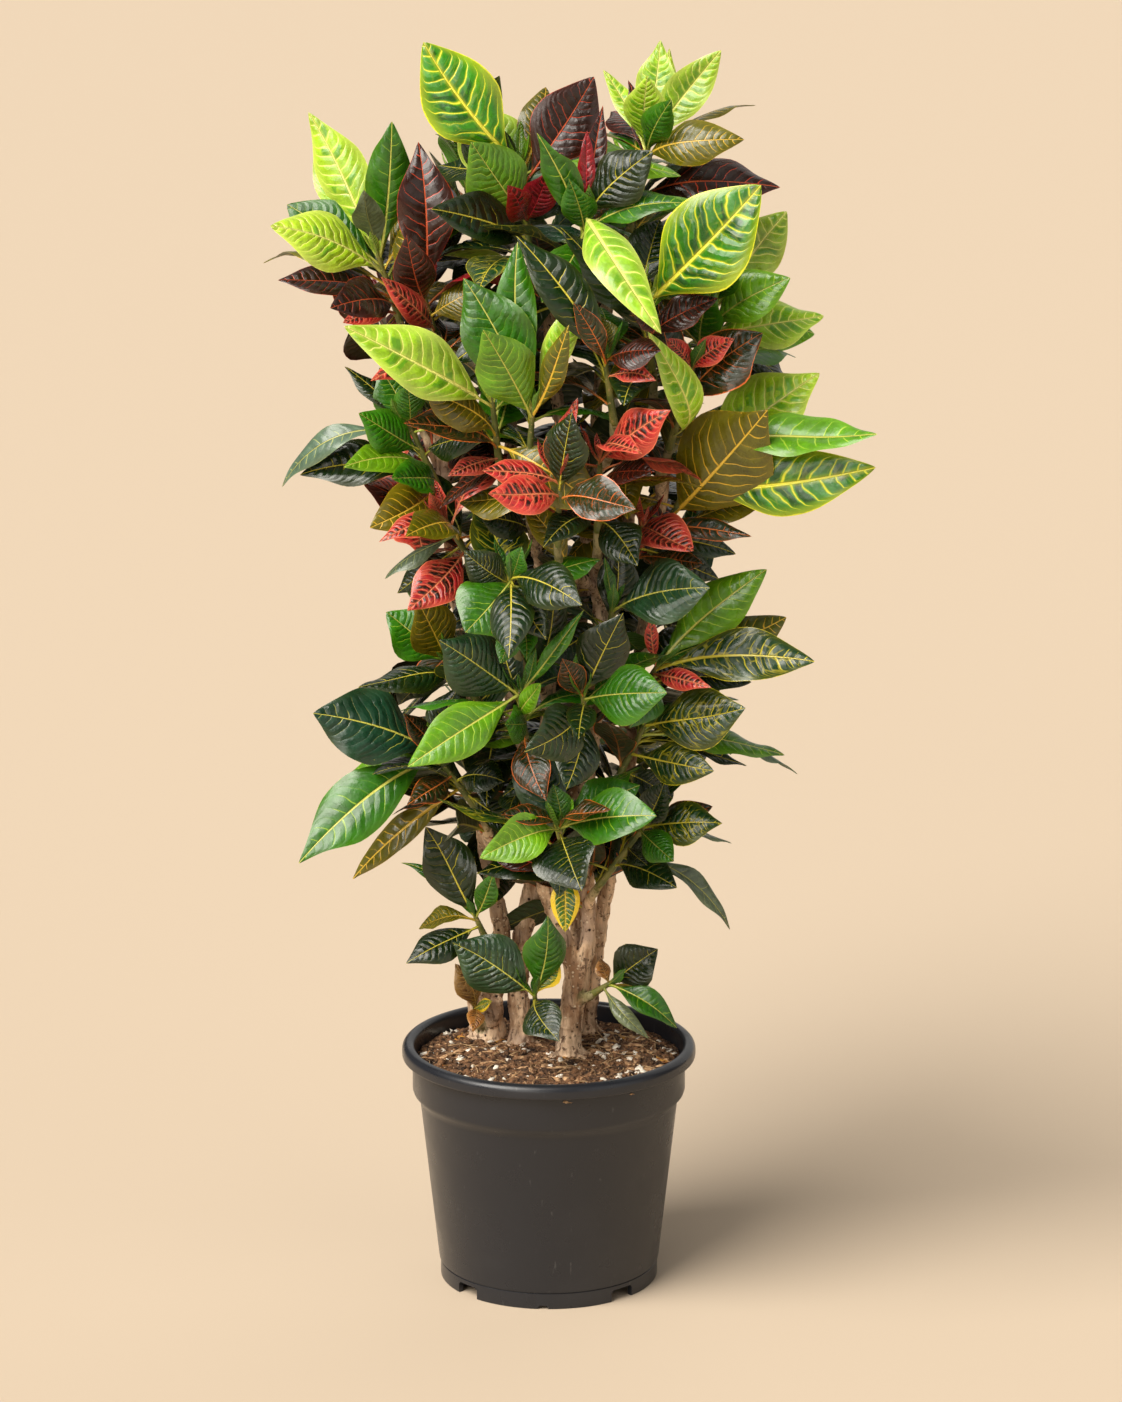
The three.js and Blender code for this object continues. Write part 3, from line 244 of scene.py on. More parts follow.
# ---------- materials ----------
def leaf_material():
    """One material for every leaf. The mesh carries the leaf's own colours and, at each point,
    its place among the side veins: x counts them along the midrib, y runs across the blade in
    the same unit, and z is the blade's half width there."""
    g = Graph("leaf")
    line, across, half = g.parts(g.mark("leaf_lines"))
    t, v, seed = g.parts(g.mark("leaf_place"))
    laterals, vein_width, glow = g.parts(g.mark("leaf_marks"))
    margin, patches, net = g.parts(g.mark("leaf_extra"))
    under, rib, relief = g.parts(g.mark("leaf_side"))
    blade, vein, patch, rib_colour = (
        g.mark(name, "Color") for name in ("leaf_blade", "leaf_vein", "leaf_patch", "leaf_rib")
    )
    out, edge = abs(across), abs(v)
    side = g.math("GREATER_THAN", across, 0.0)
    spot = g.vector(line, across, seed * 37.0)

    # The side veins run forward from the midrib and hook round before the margin.
    wander = (g.noise(spot, 0.42, 2.0) - 0.5) * 1.5
    curve = out * out * 0.34 / g.most(half, 0.3)
    forward = out * 0.4 + curve + g.ramp(edge, 0.72, 1.0, 0.0, 0.75)
    phase = (line - forward) + side.times(0.45, wander)
    away = abs(g.math("FRACT", phase) - 0.5)
    dice = g.dice(g.math("FLOOR", phase), side, seed * 91.0)

    # Some are drawn in colour, each to a reach of its own, and the others only faintly.
    absent = 1.0 - laterals
    reach = 0.94 - absent * dice[1] * 0.9
    shown = g.ramp(dice[0], absent * 0.85, absent.times(0.85, 0.12)).times(0.86, 0.14)
    kept = shown * g.ramp(edge, reach, reach - 0.16)
    taper = 1.0 - edge * 0.62
    width = vein_width * taper * dice[2].times(0.6, 0.7)
    lateral = g.ramp(away, width + 0.045, width * 0.35) * kept
    flush = g.ramp(away, glow.times(0.45, 0.02), 0.0) * glow * kept * taper.times(0.6, 0.4)
    by_rib = g.ramp(out, glow.times(0.9, 0.05), 0.0) * glow
    by_edge = g.ramp(edge, 0.6, 1.05) * (glow * 1.1)

    # Windows of the patch colour in the strips between the veins, and a fine net across them.
    chance = g.dice(g.math("FLOOR", phase + 0.5), side, seed * 53.0)
    end = chance[1].times(0.5, 0.38)
    hole = g.ramp(g.noise(spot, 1.7, 2.0).times(0.3, away), 0.3, 0.37)
    hole = hole * g.ramp(edge, end, end - 0.14) * g.ramp(chance[0], patches, patches - 0.03)
    hole = hole * g.cloud(spot, 0.95, 1.0, 0.36, 0.43)
    threads = g.ramp(g.cells(g.vector(phase, across * 0.62, seed), 1.25, "DISTANCE_TO_EDGE"), 0.075, 0.03)
    threads = threads * (net * g.ramp(edge, 0.98, 0.86)) * g.cloud(spot, 0.6, 1.0, 0.4, 0.55)
    fleck = g.ramp(g.cells(spot, 1.05), 0.085, 0.045) * g.cloud(spot, 0.35, 1.0, 0.56, 0.62)
    ragged = g.noise(spot, 2.2, 2.0).times(0.07, 0.965 - margin)
    rim = g.ramp(edge, ragged, ragged + 0.03) * g.ramp(margin, 0.0, 0.02)
    veined = g.most(lateral, flush, by_rib, by_edge, threads, rim, fleck * 0.6)
    rib_width = rib * (1.12 - t)
    midrib = g.ramp(out, rib_width + 0.04, rib_width * 0.6)

    cloudy = g.ramp(g.noise(spot, 0.4, 4.0, 0.6), 0.25, 0.75, 0.66, 1.3)
    fine = g.ramp(g.noise(spot, 6.0, 2.0), 0.3, 0.7, 0.9, 1.1)
    shade = cloudy * fine * away.times(-0.3, 1.07)
    tint = g.mix(1.0, blade, g.add("ShaderNodeCombineColor", {0: shade, 1: shade, 2: shade}), "MULTIPLY")
    tint = g.mix(g.cloud(spot, 0.3, 2.0, 0.5, 0.75) * 0.3 * glow, tint, vein)
    colour = g.mix(hole, tint, patch)
    colour = g.mix(veined * 0.94, colour, vein)
    colour = g.mix(midrib, colour, rib_colour)
    dull = g.mix(0.5, colour, g.mix(0.45, blade, (0.13, 0.16, 0.06)))
    colour = g.mix(under, colour, dull)

    pillow = g.math("POWER", away * 2.0, 0.6) * g.noise(spot, 0.9, 2.0).times(1.2, 0.1)
    pillow = pillow * relief * g.ramp(edge, 1.0, 0.45)
    height = pillow - midrib * 0.7 + g.noise(spot, 0.8, 3.0) * 0.7 + g.noise(spot, 5.0, 3.0) * 0.1
    sheen = g.ramp(g.noise(spot, 1.3, 3.0), 0.3, 0.7, 0.25, 0.4)
    return g.finish(
        height, 0.0014, 0.9, Base_Color=colour, Roughness=under.times(0.25, sheen), IOR=1.48,
        Coat_Weight=0.3, Coat_Roughness=0.12,
    )


def shoot_material():
    g = Graph("green_shoot")
    place = g.place()
    colour = g.mix(g.cloud(place, 60.0, 4.0, 0.35, 0.65), linear(74, 86, 32), linear(122, 120, 56))
    colour = g.mix(g.cloud(place, 420.0, 2.0, 0.62, 0.7), colour, linear(170, 140, 90))
    return g.finish(g.noise(place, 300.0, 3.0), 0.0006, 0.5, Base_Color=colour, Roughness=0.45)


def bark_material():
    g = Graph("bark")
    long, place = g.place((1.0, 1.0, 0.3)), g.place()
    streaks = g.cloud(long, 55.0, 5.0, 0.36, 0.64, 0.65)
    colour = g.mix(streaks, linear(150, 114, 84), linear(253, 220, 184))
    colour = g.mix(g.cloud(place, 26.0, 3.0, 0.5, 0.7), colour, linear(188, 160, 138))
    colour = g.mix(g.cloud(place, 150.0, 3.0, 0.54, 0.66, 0.7), colour, linear(112, 84, 64))
    # Cracks, sunk by the bump and darkened: partly the bark's own colour, partly painted shade in the
    # hollows.
    shaded_crack = g.cloud(g.place((1.0, 1.0, 0.16)), 210.0, 3.0, 0.44, 0.36, 0.6)
    colour = g.mix(shaded_crack * 0.6, colour, linear(84, 60, 45))
    lenticel = g.ramp(g.cells(place, 190.0), 0.26, 0.16) * g.cloud(place, 70.0, 1.0, 0.48, 0.58)
    colour = g.mix(lenticel, colour, linear(228, 206, 176))
    # Pits, sunk by the bump and near black: partly the bark's own colour, partly painted shade in the
    # hollows.
    shaded_pit = g.ramp(g.cells(place, 120.0), 0.2, 0.12) * g.cloud(place, 45.0, 1.0, 0.5, 0.6)
    colour = g.mix(shaded_pit, colour, linear(58, 40, 30))
    colour = g.mix(g.mark("young", "Fac") * 0.75, colour, linear(112, 116, 62))
    height = g.noise(long, 170.0, 5.0, 0.65) + lenticel * 0.5 - (shaded_crack * 0.8 + shaded_pit)
    return g.finish(height, 0.0012, 0.9, Base_Color=colour, Roughness=0.82, IOR=1.4)


def pot_material():
    g = Graph("pot_plastic")
    place = g.place()
    dust = g.cloud(place, 9.0, 5.0, 0.45, 0.75, 0.6) * g.ramp(g.parts(place)[2], 0.20, 0.0, 0.25, 0.6)
    colour = g.mix(dust * 0.3, linear(29, 31, 37), linear(66, 66, 69))
    scuff = g.cloud(g.place((1.0, 1.0, 0.25)), 240.0, 3.0, 0.68, 0.76)
    colour = g.mix(scuff * 0.3, colour, linear(96, 96, 96))
    rough = g.ramp(g.noise(place, 30.0, 3.0), 0.3, 0.7, 0.26, 0.36)
    return g.finish(g.noise(place, 900.0, 2.0), 0.00025, 0.35, Base_Color=colour, Roughness=rough, IOR=1.5)


def soil_material():
    g = Graph("potting_soil")
    place = g.place()
    colour = g.mix(g.cloud(place, 110.0, 5.0, 0.35, 0.66, 0.65), linear(44, 28, 18), linear(148, 106, 72))
    colour = g.mix(g.cloud(place, 420.0, 2.0, 0.6, 0.7), colour, linear(204, 162, 118))
    return g.finish(g.noise(place, 600.0, 5.0, 0.7), 0.002, 1.0, Base_Color=colour, Roughness=0.95)


def grain_material(name, dark, light, roughness):
    g = Graph(name)
    place = g.place()
    colour = g.mix(g.cloud(place, 220.0, 4.0, 0.3, 0.7), linear(*dark), linear(*light))
    return g.finish(g.noise(place, 900.0, 4.0), 0.0008, 0.8, Base_Color=colour, Roughness=roughness)


# ---------- leaves ----------
Look = namedtuple("Look", "blade vein patch laterals vein_width glow margin patches net rib relief yellow")


def look_of(words):
    sizes = [float(word) for word in words]
    return Look(sizes[:3], sizes[3:6], sizes[6:9], *sizes[9:])


# Colours of the kinds of leaf: blade, veins and patches as screen values, then how much shows of
# the side veins (0..1), their width and the flush of vein colour round them as shares of their
# spacing, the coloured margin's share of the half width, the share of the strips between veins
# that hold a patch, the fine net's strength, the midrib's half width in vein spacings, the relief
# between the veins, and how much yellower than the veins the midrib is (0..1).
# The grey kind's blade is a leaf's paler underside, lightened further as painted sheen.
# The silver kind's blade is lighter and greyer than forest's, partly its own tone, partly painted sheen.
KINDS = {name: look_of(words) for name, words in table("""
lime    150 192  32  238 240 124   96 154  20   .94 .042  .34  .03  .35    0  .15  1.1   .1
fresh    86 138  12  168 200  58   60 110  12    .8  .03  .14  .02    0    0  .13   .8   .6
green    42 102   6  150 182  40   28  74   8    .5 .026  .08 .018    0    0  .13    1   .6
forest   12  38   6  210 196  44    9  26   9    .2 .028  .02 .012    0    0  .12  1.4  .25
zebra    46 122   6  228 226  46   18  76   6   .98  .07  .36  .05   .6   .1  .18  1.5   .2
net      14  54  10  222 206  44    9  30   8   .58 .055  .08  .03    0  .35  .15  1.1   .2
bronze   94  92   8  232 182  42   58  52  10   .82 .034  .06  .02    0    0  .17   .8   .2
wine     42  17   7  196  66  34   24  10   7    .6 .028  .04  .03    0    0  .11    1  .05
coral   182  38  40  246 134  94   42  20  10   .95  .06  .32  .05  .95  .35  .17   .9  .05
ember    26  40   8  230 112  44   16  22   7   .42 .034  .05  .05    0  .15  .14  1.1   .1
crimson 134  10  24  206  44  54   66   8  14   .55  .04  .12  .02   .3    0   .1   .9    0
grey     92 108  82  170 176 104   58  72  56    .5 .026  .08  .02    0    0   .1   .6   .2
silver   26  60  34  196 196  70   20  44  28   .26 .028  .02 .012    0    0  .13  1.6   .3
yellow   46  98  12  236 200  40   30  58  12    .8  .09   .4  .34   .1   .3  .16   .7   .1
dry     150 102  48  194 152  88   84  52  24    .6  .04   .2  .06   .5    0   .1   .9    0
""").items()}
# What the leaves placed by rule look like, by their head's colour: young ones first.
RULED_KINDS = table("""
lime    lime fresh green green bronze forest
green   fresh green green forest forest net
forest  green forest forest net forest ember
zebra   lime zebra fresh zebra forest green
wine    crimson wine bronze wine forest ember
bronze  green bronze ember bronze forest wine
coral   coral coral ember bronze forest coral
silver  green silver forest silver forest green
ember   green ember forest net ember forest
dry     dry dry yellow dry dry dry
""")
# And what the leaves added inside the crown look like.
INNER_KINDS = table("""
lime    forest green bronze forest wine ember
green   forest forest green wine ember silver
forest  forest forest silver wine ember green
zebra   forest green bronze wine forest
wine    wine forest bronze wine ember
bronze  bronze forest wine ember forest
coral   ember forest coral wine bronze forest
silver  forest silver forest green
ember   ember forest wine forest
""")
HEAD_SLOTS = {
    "lime": "leaf_lime", "zebra": "leaf_lime", "green": "leaf_green", "silver": "leaf_green",
    "forest": "leaf_dark", "ember": "leaf_dark", "bronze": "leaf_dark", "wine": "leaf_red",
    "coral": "leaf_red", "dry": "leaf_dry",
}
COLUMNS = np.array([-1, -0.88, -0.66, -0.4, -0.18, -0.06, 0, 0.06, 0.18, 0.4, 0.66, 0.88, 1])
VEIN_COUNTS = (11.5, 15.0)
PETIOLE = 0.12
PETIOLE_HALF = 1.6
FULLNESS = 1.1
BLADE_HALF_THICKNESS = 0.42
YELLOW = np.array([0.8, 0.7, 0.16])
# How much narrower than the model's the blade is at its base and at its tip: broad beyond the
# middle with a blunt end, or widest in the middle and drawn out.
BLADE_SHAPES = [((0.4, 0.56), (0.1, 0.24)), ((0.3, 0.45), (0.2, 0.38)), ((0.2, 0.32), (0.32, 0.54))]
STATION_STEP = 6.0
PLAIN_LENGTH = 60
# What each blade draws for itself: its roll, how far its halves fold up (open ones twice as often),
# how many waves its edges have and how high they are, how far the halves bow down, how far the
# blade twists, bends aside and turns up or down at its end, and its brightness and warmth.
ROLL = 0.16
FOLDS = (0.06, 0.26), (0.06, 0.26), (0.3, 0.55)
WAVE_COUNTS = (1.6, 3.2)
WAVE_SHARES = (0.25, 1.0)
WAVE_HEIGHT = 0.026
BOWS_DOWN = (0.08, 0.42)
TWISTS = (-0.8, 0.8)
SICKLES = (-0.05, 0.05)
RECURVES = (-0.015, 0.035)
RELIEFS = (0.6, 1.2)
BRIGHTNESS = 0.13
WARMTH = 0.09
STALK_HALF_THICKNESS = 1.15
STALK_COLOUR = (110, 130, 40)


def half_width(t, width, base=0.28, tip=0.26):
    """The blade's half width, as in the model, with a narrower base and a drawn-out tip."""
    u = np.clip((t - PETIOLE) / (1 - PETIOLE), 0, 1)
    half = FULLNESS * (width / 2) * np.sin(np.pi * u) ** 0.8
    half = half * (1 - base * smooth(0.45, 0, u)) * (1 - tip * smooth(0.6, 1, u))
    stalk = PETIOLE_HALF * (1 - 0.25 * smooth(0, PETIOLE, t))
    return np.maximum(half, stalk * (1 - smooth(0.9, 1, t)))


class Foliage:
    """Gathers the leaves of one head as points, faces and marks."""

    def __init__(self):
        self.points, self.faces, self.sharp, self.marks, self.count = [], [], [], {}, 0

    def add_leaf(self, form, kind, rng, fold=None, detail=1.0):
        root, tip, width, face, bend = form["root"], form["tip"], form["width"], form["face"], form["bend"]
        along = tip - root
        length = np.linalg.norm(along)
        ahead = along / length
        up = unit(face - ahead * face.dot(ahead))
        side = np.cross(up, ahead)
        roll = rng.gauss(0, ROLL)
        up, side = up * math.cos(roll) + side * math.sin(roll), side * math.cos(roll) - up * math.sin(roll)
        count = max(7, int(detail * length / STATION_STEP))
        steps = 1 - (1 - np.linspace(0, 1, count + 1)[:-1]) ** 1.25
        t = np.concatenate([[0.0, 0.05, 0.09], PETIOLE + (1 - PETIOLE) * steps])
        columns = COLUMNS if length > PLAIN_LENGTH and detail == 1.0 else COLUMNS[::2]
        v = columns[None, :]
        tt = t[:, None]
        shape = rng.choice(BLADE_SHAPES)
        half = half_width(tt, width, rng.uniform(*shape[0]), rng.uniform(*shape[1]))
        blade_part = smooth(0.08, 0.3, tt) * smooth(1.02, 0.8, tt)

        fold = rng.uniform(*rng.choice(FOLDS)) if fold is None else fold
        waves = rng.uniform(*WAVE_COUNTS)
        phases = rng.uniform(0, 2 * np.pi), rng.uniform(0, 2 * np.pi)
        swing = rng.uniform(*WAVE_SHARES) * WAVE_HEIGHT * length * blade_part
        left, right = (np.sin(2 * np.pi * waves * tt + phase) for phase in phases)
        wave = swing * np.where(v < 0, left, right) * np.abs(v) ** 2.2
        dome = -rng.uniform(*BOWS_DOWN) * half * np.abs(v) ** 2.3
        lift = (fold * half * np.abs(v) + dome) * blade_part + wave
        twist = rng.uniform(*TWISTS) * (tt - 0.4) * blade_part
        sickle = rng.uniform(*SICKLES) * length * 4 * tt * (1 - tt)
        recurve = rng.uniform(*RECURVES) * length * np.sin(2 * np.pi * tt)
        arch = bend * length * 4 * tt * (1 - tt) + recurve
        b = v * half
        x = b * np.cos(twist) - lift * np.sin(twist) + sickle
        z = b * np.sin(twist) + lift * np.cos(twist) + arch
        middle = root + along * t[:, None]
        surface = middle[:, None, :] + x[..., None] * side + z[..., None] * up

        thick = STALK_HALF_THICKNESS + (BLADE_HALF_THICKNESS - STALK_HALF_THICKNESS) * smooth(0.05, 0.16, tt)
        round_off = np.sqrt(np.clip(1 - np.abs(v) ** 4, 0, 1)) * thick
        rib = (1.0 * (1 - tt) + 0.15) * np.exp(-((b / 1.3) ** 2)) * smooth(0.08, 0.14, tt)
        top = surface + round_off[..., None] * up
        bottom = surface - (round_off + rib)[..., None] * up

        n, m = b.shape
        base = self.count
        self.points += [top.reshape(-1, 3), bottom[:, 1:-1].reshape(-1, 3), tip[None, :]]
        place = np.broadcast_arrays(tt, v, np.full_like(b, rng.random()))
        veins = rng.uniform(*VEIN_COUNTS)
        spacing = length / veins
        lines = np.broadcast_arrays(tt * veins, b / spacing, half / spacing)

        def spread(values, end):
            full = np.stack(values, -1)
            return np.concatenate([full.reshape(-1, 3), full[:, 1:-1].reshape(-1, 3), [end]])

        total = n * m + n * (m - 2) + 1
        under = np.zeros((total, 3))
        under[n * m:-1, 0] = 1.0
        look = KINDS[kind]
        under[:, 1] = look.rib
        under[:, 2] = look.relief * rng.uniform(*RELIEFS)
        value = math.exp(rng.gauss(0, BRIGHTNESS))
        warmth = rng.gauss(0, WARMTH)
        shift = np.array([1 + warmth, 1.0, 1 - warmth]) * value
        blade, vein, patch = (np.array(linear(*colour)) for colour in (look.blade, look.vein, look.patch))
        stalk = vein * 0.45 + np.array(linear(*STALK_COLOUR)) * 0.55
        ts = np.concatenate([np.repeat(t, m), np.repeat(t, m - 2), [1.0]])
        is_stalk = (1 - smooth(0.1, 0.17, ts))[:, None]
        marks = {
            "leaf_place": spread(place, [1, 0, place[2][0, 0]]), "leaf_lines": spread(lines, [veins, 0, 0]),
            "leaf_side": under, "leaf_blade": blade * shift * (1 - is_stalk) + stalk * is_stalk,
            "leaf_marks": [look.laterals, look.vein_width, look.glow],
            "leaf_extra": [look.margin, look.patches, look.net],
            "leaf_vein": vein * (0.6 + 0.4 * value), "leaf_patch": patch * value,
            "leaf_rib": vein * (1 - look.yellow) + YELLOW * look.yellow,
        }
        for key, rows in marks.items():
            self.marks.setdefault(key, []).append(np.broadcast_to(rows, (total, 3)))
        sharp = np.zeros(total, bool)
        sharp[:n * m] = np.broadcast_to(np.abs(v) == 1, (n, m)).ravel()
        sharp[-1] = True
        self.sharp.append(sharp)

        def upper(i, j):
            return base + i * m + j

        def lower(i, j):
            return upper(i, j) if j in (0, m - 1) else base + n * m + i * (m - 2) + j - 1

        last = base + total - 1
        for j in range(m - 1):
            for i in range(n - 1):
                self.faces.append((upper(i, j), upper(i + 1, j), upper(i + 1, j + 1), upper(i, j + 1)))
                self.faces.append((lower(i, j), lower(i, j + 1), lower(i + 1, j + 1), lower(i + 1, j)))
            self.faces.append((upper(n - 1, j), last, upper(n - 1, j + 1)))
            self.faces.append((lower(n - 1, j), lower(n - 1, j + 1), last))
        ring = [upper(0, j) for j in range(m)] + [lower(0, j) for j in range(m - 2, 0, -1)]
        self.faces.append(tuple(ring))
        self.count += total

    def mesh(self, name):
        marks = {key: np.concatenate(rows) for key, rows in self.marks.items()}
        places = metres(np.concatenate(self.points))
        return mesh_of(name, places, self.faces, marks, np.concatenate(self.sharp))


# ---------- the plant's plan, as in the model ----------
def blocks(text):
    """The words of each line, with those of the rows in the indented lines after it."""
    found = []
    for line in text.strip().splitlines():
        if line.startswith(" "):
            found[-1][1].extend(row.split() for row in line.rstrip(";").split(";"))
        else:
            found.append((line.split(), []))
    return found


def floats(rows):
    return [[float(word) for word in row] for row in rows]


def plan_of(words, rows):
    """A head's plan from the words of its line and the rows of its leaves."""
    stem, fork, *places, colour, more = words
    places = [float(word) for word in places]
    leaves = [[*map(float, row[:7]), row[7], *map(float, row[8:])] for row in rows]
    return {"stem": stem, "fork": float(fork), "base": places[:3], "top": places[3:], "colour": colour,
            "more": int(more), "leaves": leaves}


# Woody stems, and the limbs with the stem they fork off: x, y, z and radius along each.
STEMS = {name: floats(rows) for (name,), rows in blocks("""
stem_front
 19 5 130 10.4; 19 5 216 10.4; 21 5 246 9.6; 27 5 284 10.4; 35 6 314 6.6; 36 8 346 6.2; 34 8 400 6.6;
 34 4 460 7; 39 -4 505 7; 43 -6 560 6.6; 48 -8 622 7.2; 40 -6 680 6; 20 0 760 5.4; 5 2 840 5; 0 0 905 4.6
stem_right
 36 75 130 8.2; 36 75 216 8.2; 42 70 270 6.8; 53 62 350 6.4; 68 52 430 6.2; 75 44 490 6; 80 40 540 6;
 88 36 620 5.6; 98 32 700 5.2; 108 25 780 4.8; 112 20 850 4.6
stem_left
 -57 60 130 14; -57 60 222 14; -54 50 250 10.4; -44 34 300 8.4; -46 24 340 7.6; -54 18 380 6.8;
 -62 14 440 6.4; -68 12 520 6; -76 14 600 5.6; -88 16 700 5.2; -100 18 800 4.8; -108 18 850 4.6
stem_back_left
 -27 46 130 9.4; -27 46 216 9.4; -29 44 262 8.8; -25 36 310 9; -14 34 365 8.4; -16 50 420 7; -30 68 490 6.4;
 -36 80 580 6; -38 85 700 5.4; -32 80 820 5; -28 72 900 4.6
stem_back_right
 17 45 130 8; 17 45 216 8; 20 46 262 7; 25 48 310 6; 27 54 360 5.8; 24 68 430 6.2; 24 86 510 6.2;
 30 98 600 5.8; 38 102 720 5.4; 48 95 840 5; 56 85 920 4.6
""")}
LIMBS = {name: {"stem": stem, "rows": floats(rows)} for (name, stem), rows in blocks("""
limb_centre stem_front
 25 5 280 8.4; 15.6 3 314 7.4; 5 0 348 6.8; -6 -4 382 6.6; -12 -10 430 6.2; -8 -18 490 5.8; 0 -24 547 5.6;
 0 -26 600 5.2; -6 -26 650 4.8
limb_upper stem_front
 48 -8 618 6; 58 -10 648 5.4; 68 -14 690 5; 74 -20 740 4.6
stump_outer stem_left
 -59 62 212 7; -69 64 240 7; -74 62 264 4.8
stump_inner stem_left
 -56 58 212 6; -52 44 236 7.4; -49 34 254 5
stump_middle stem_back_left
 -25 44 214 5.6; -14 33 226 6.4; -8 28 241 4.6
""")}
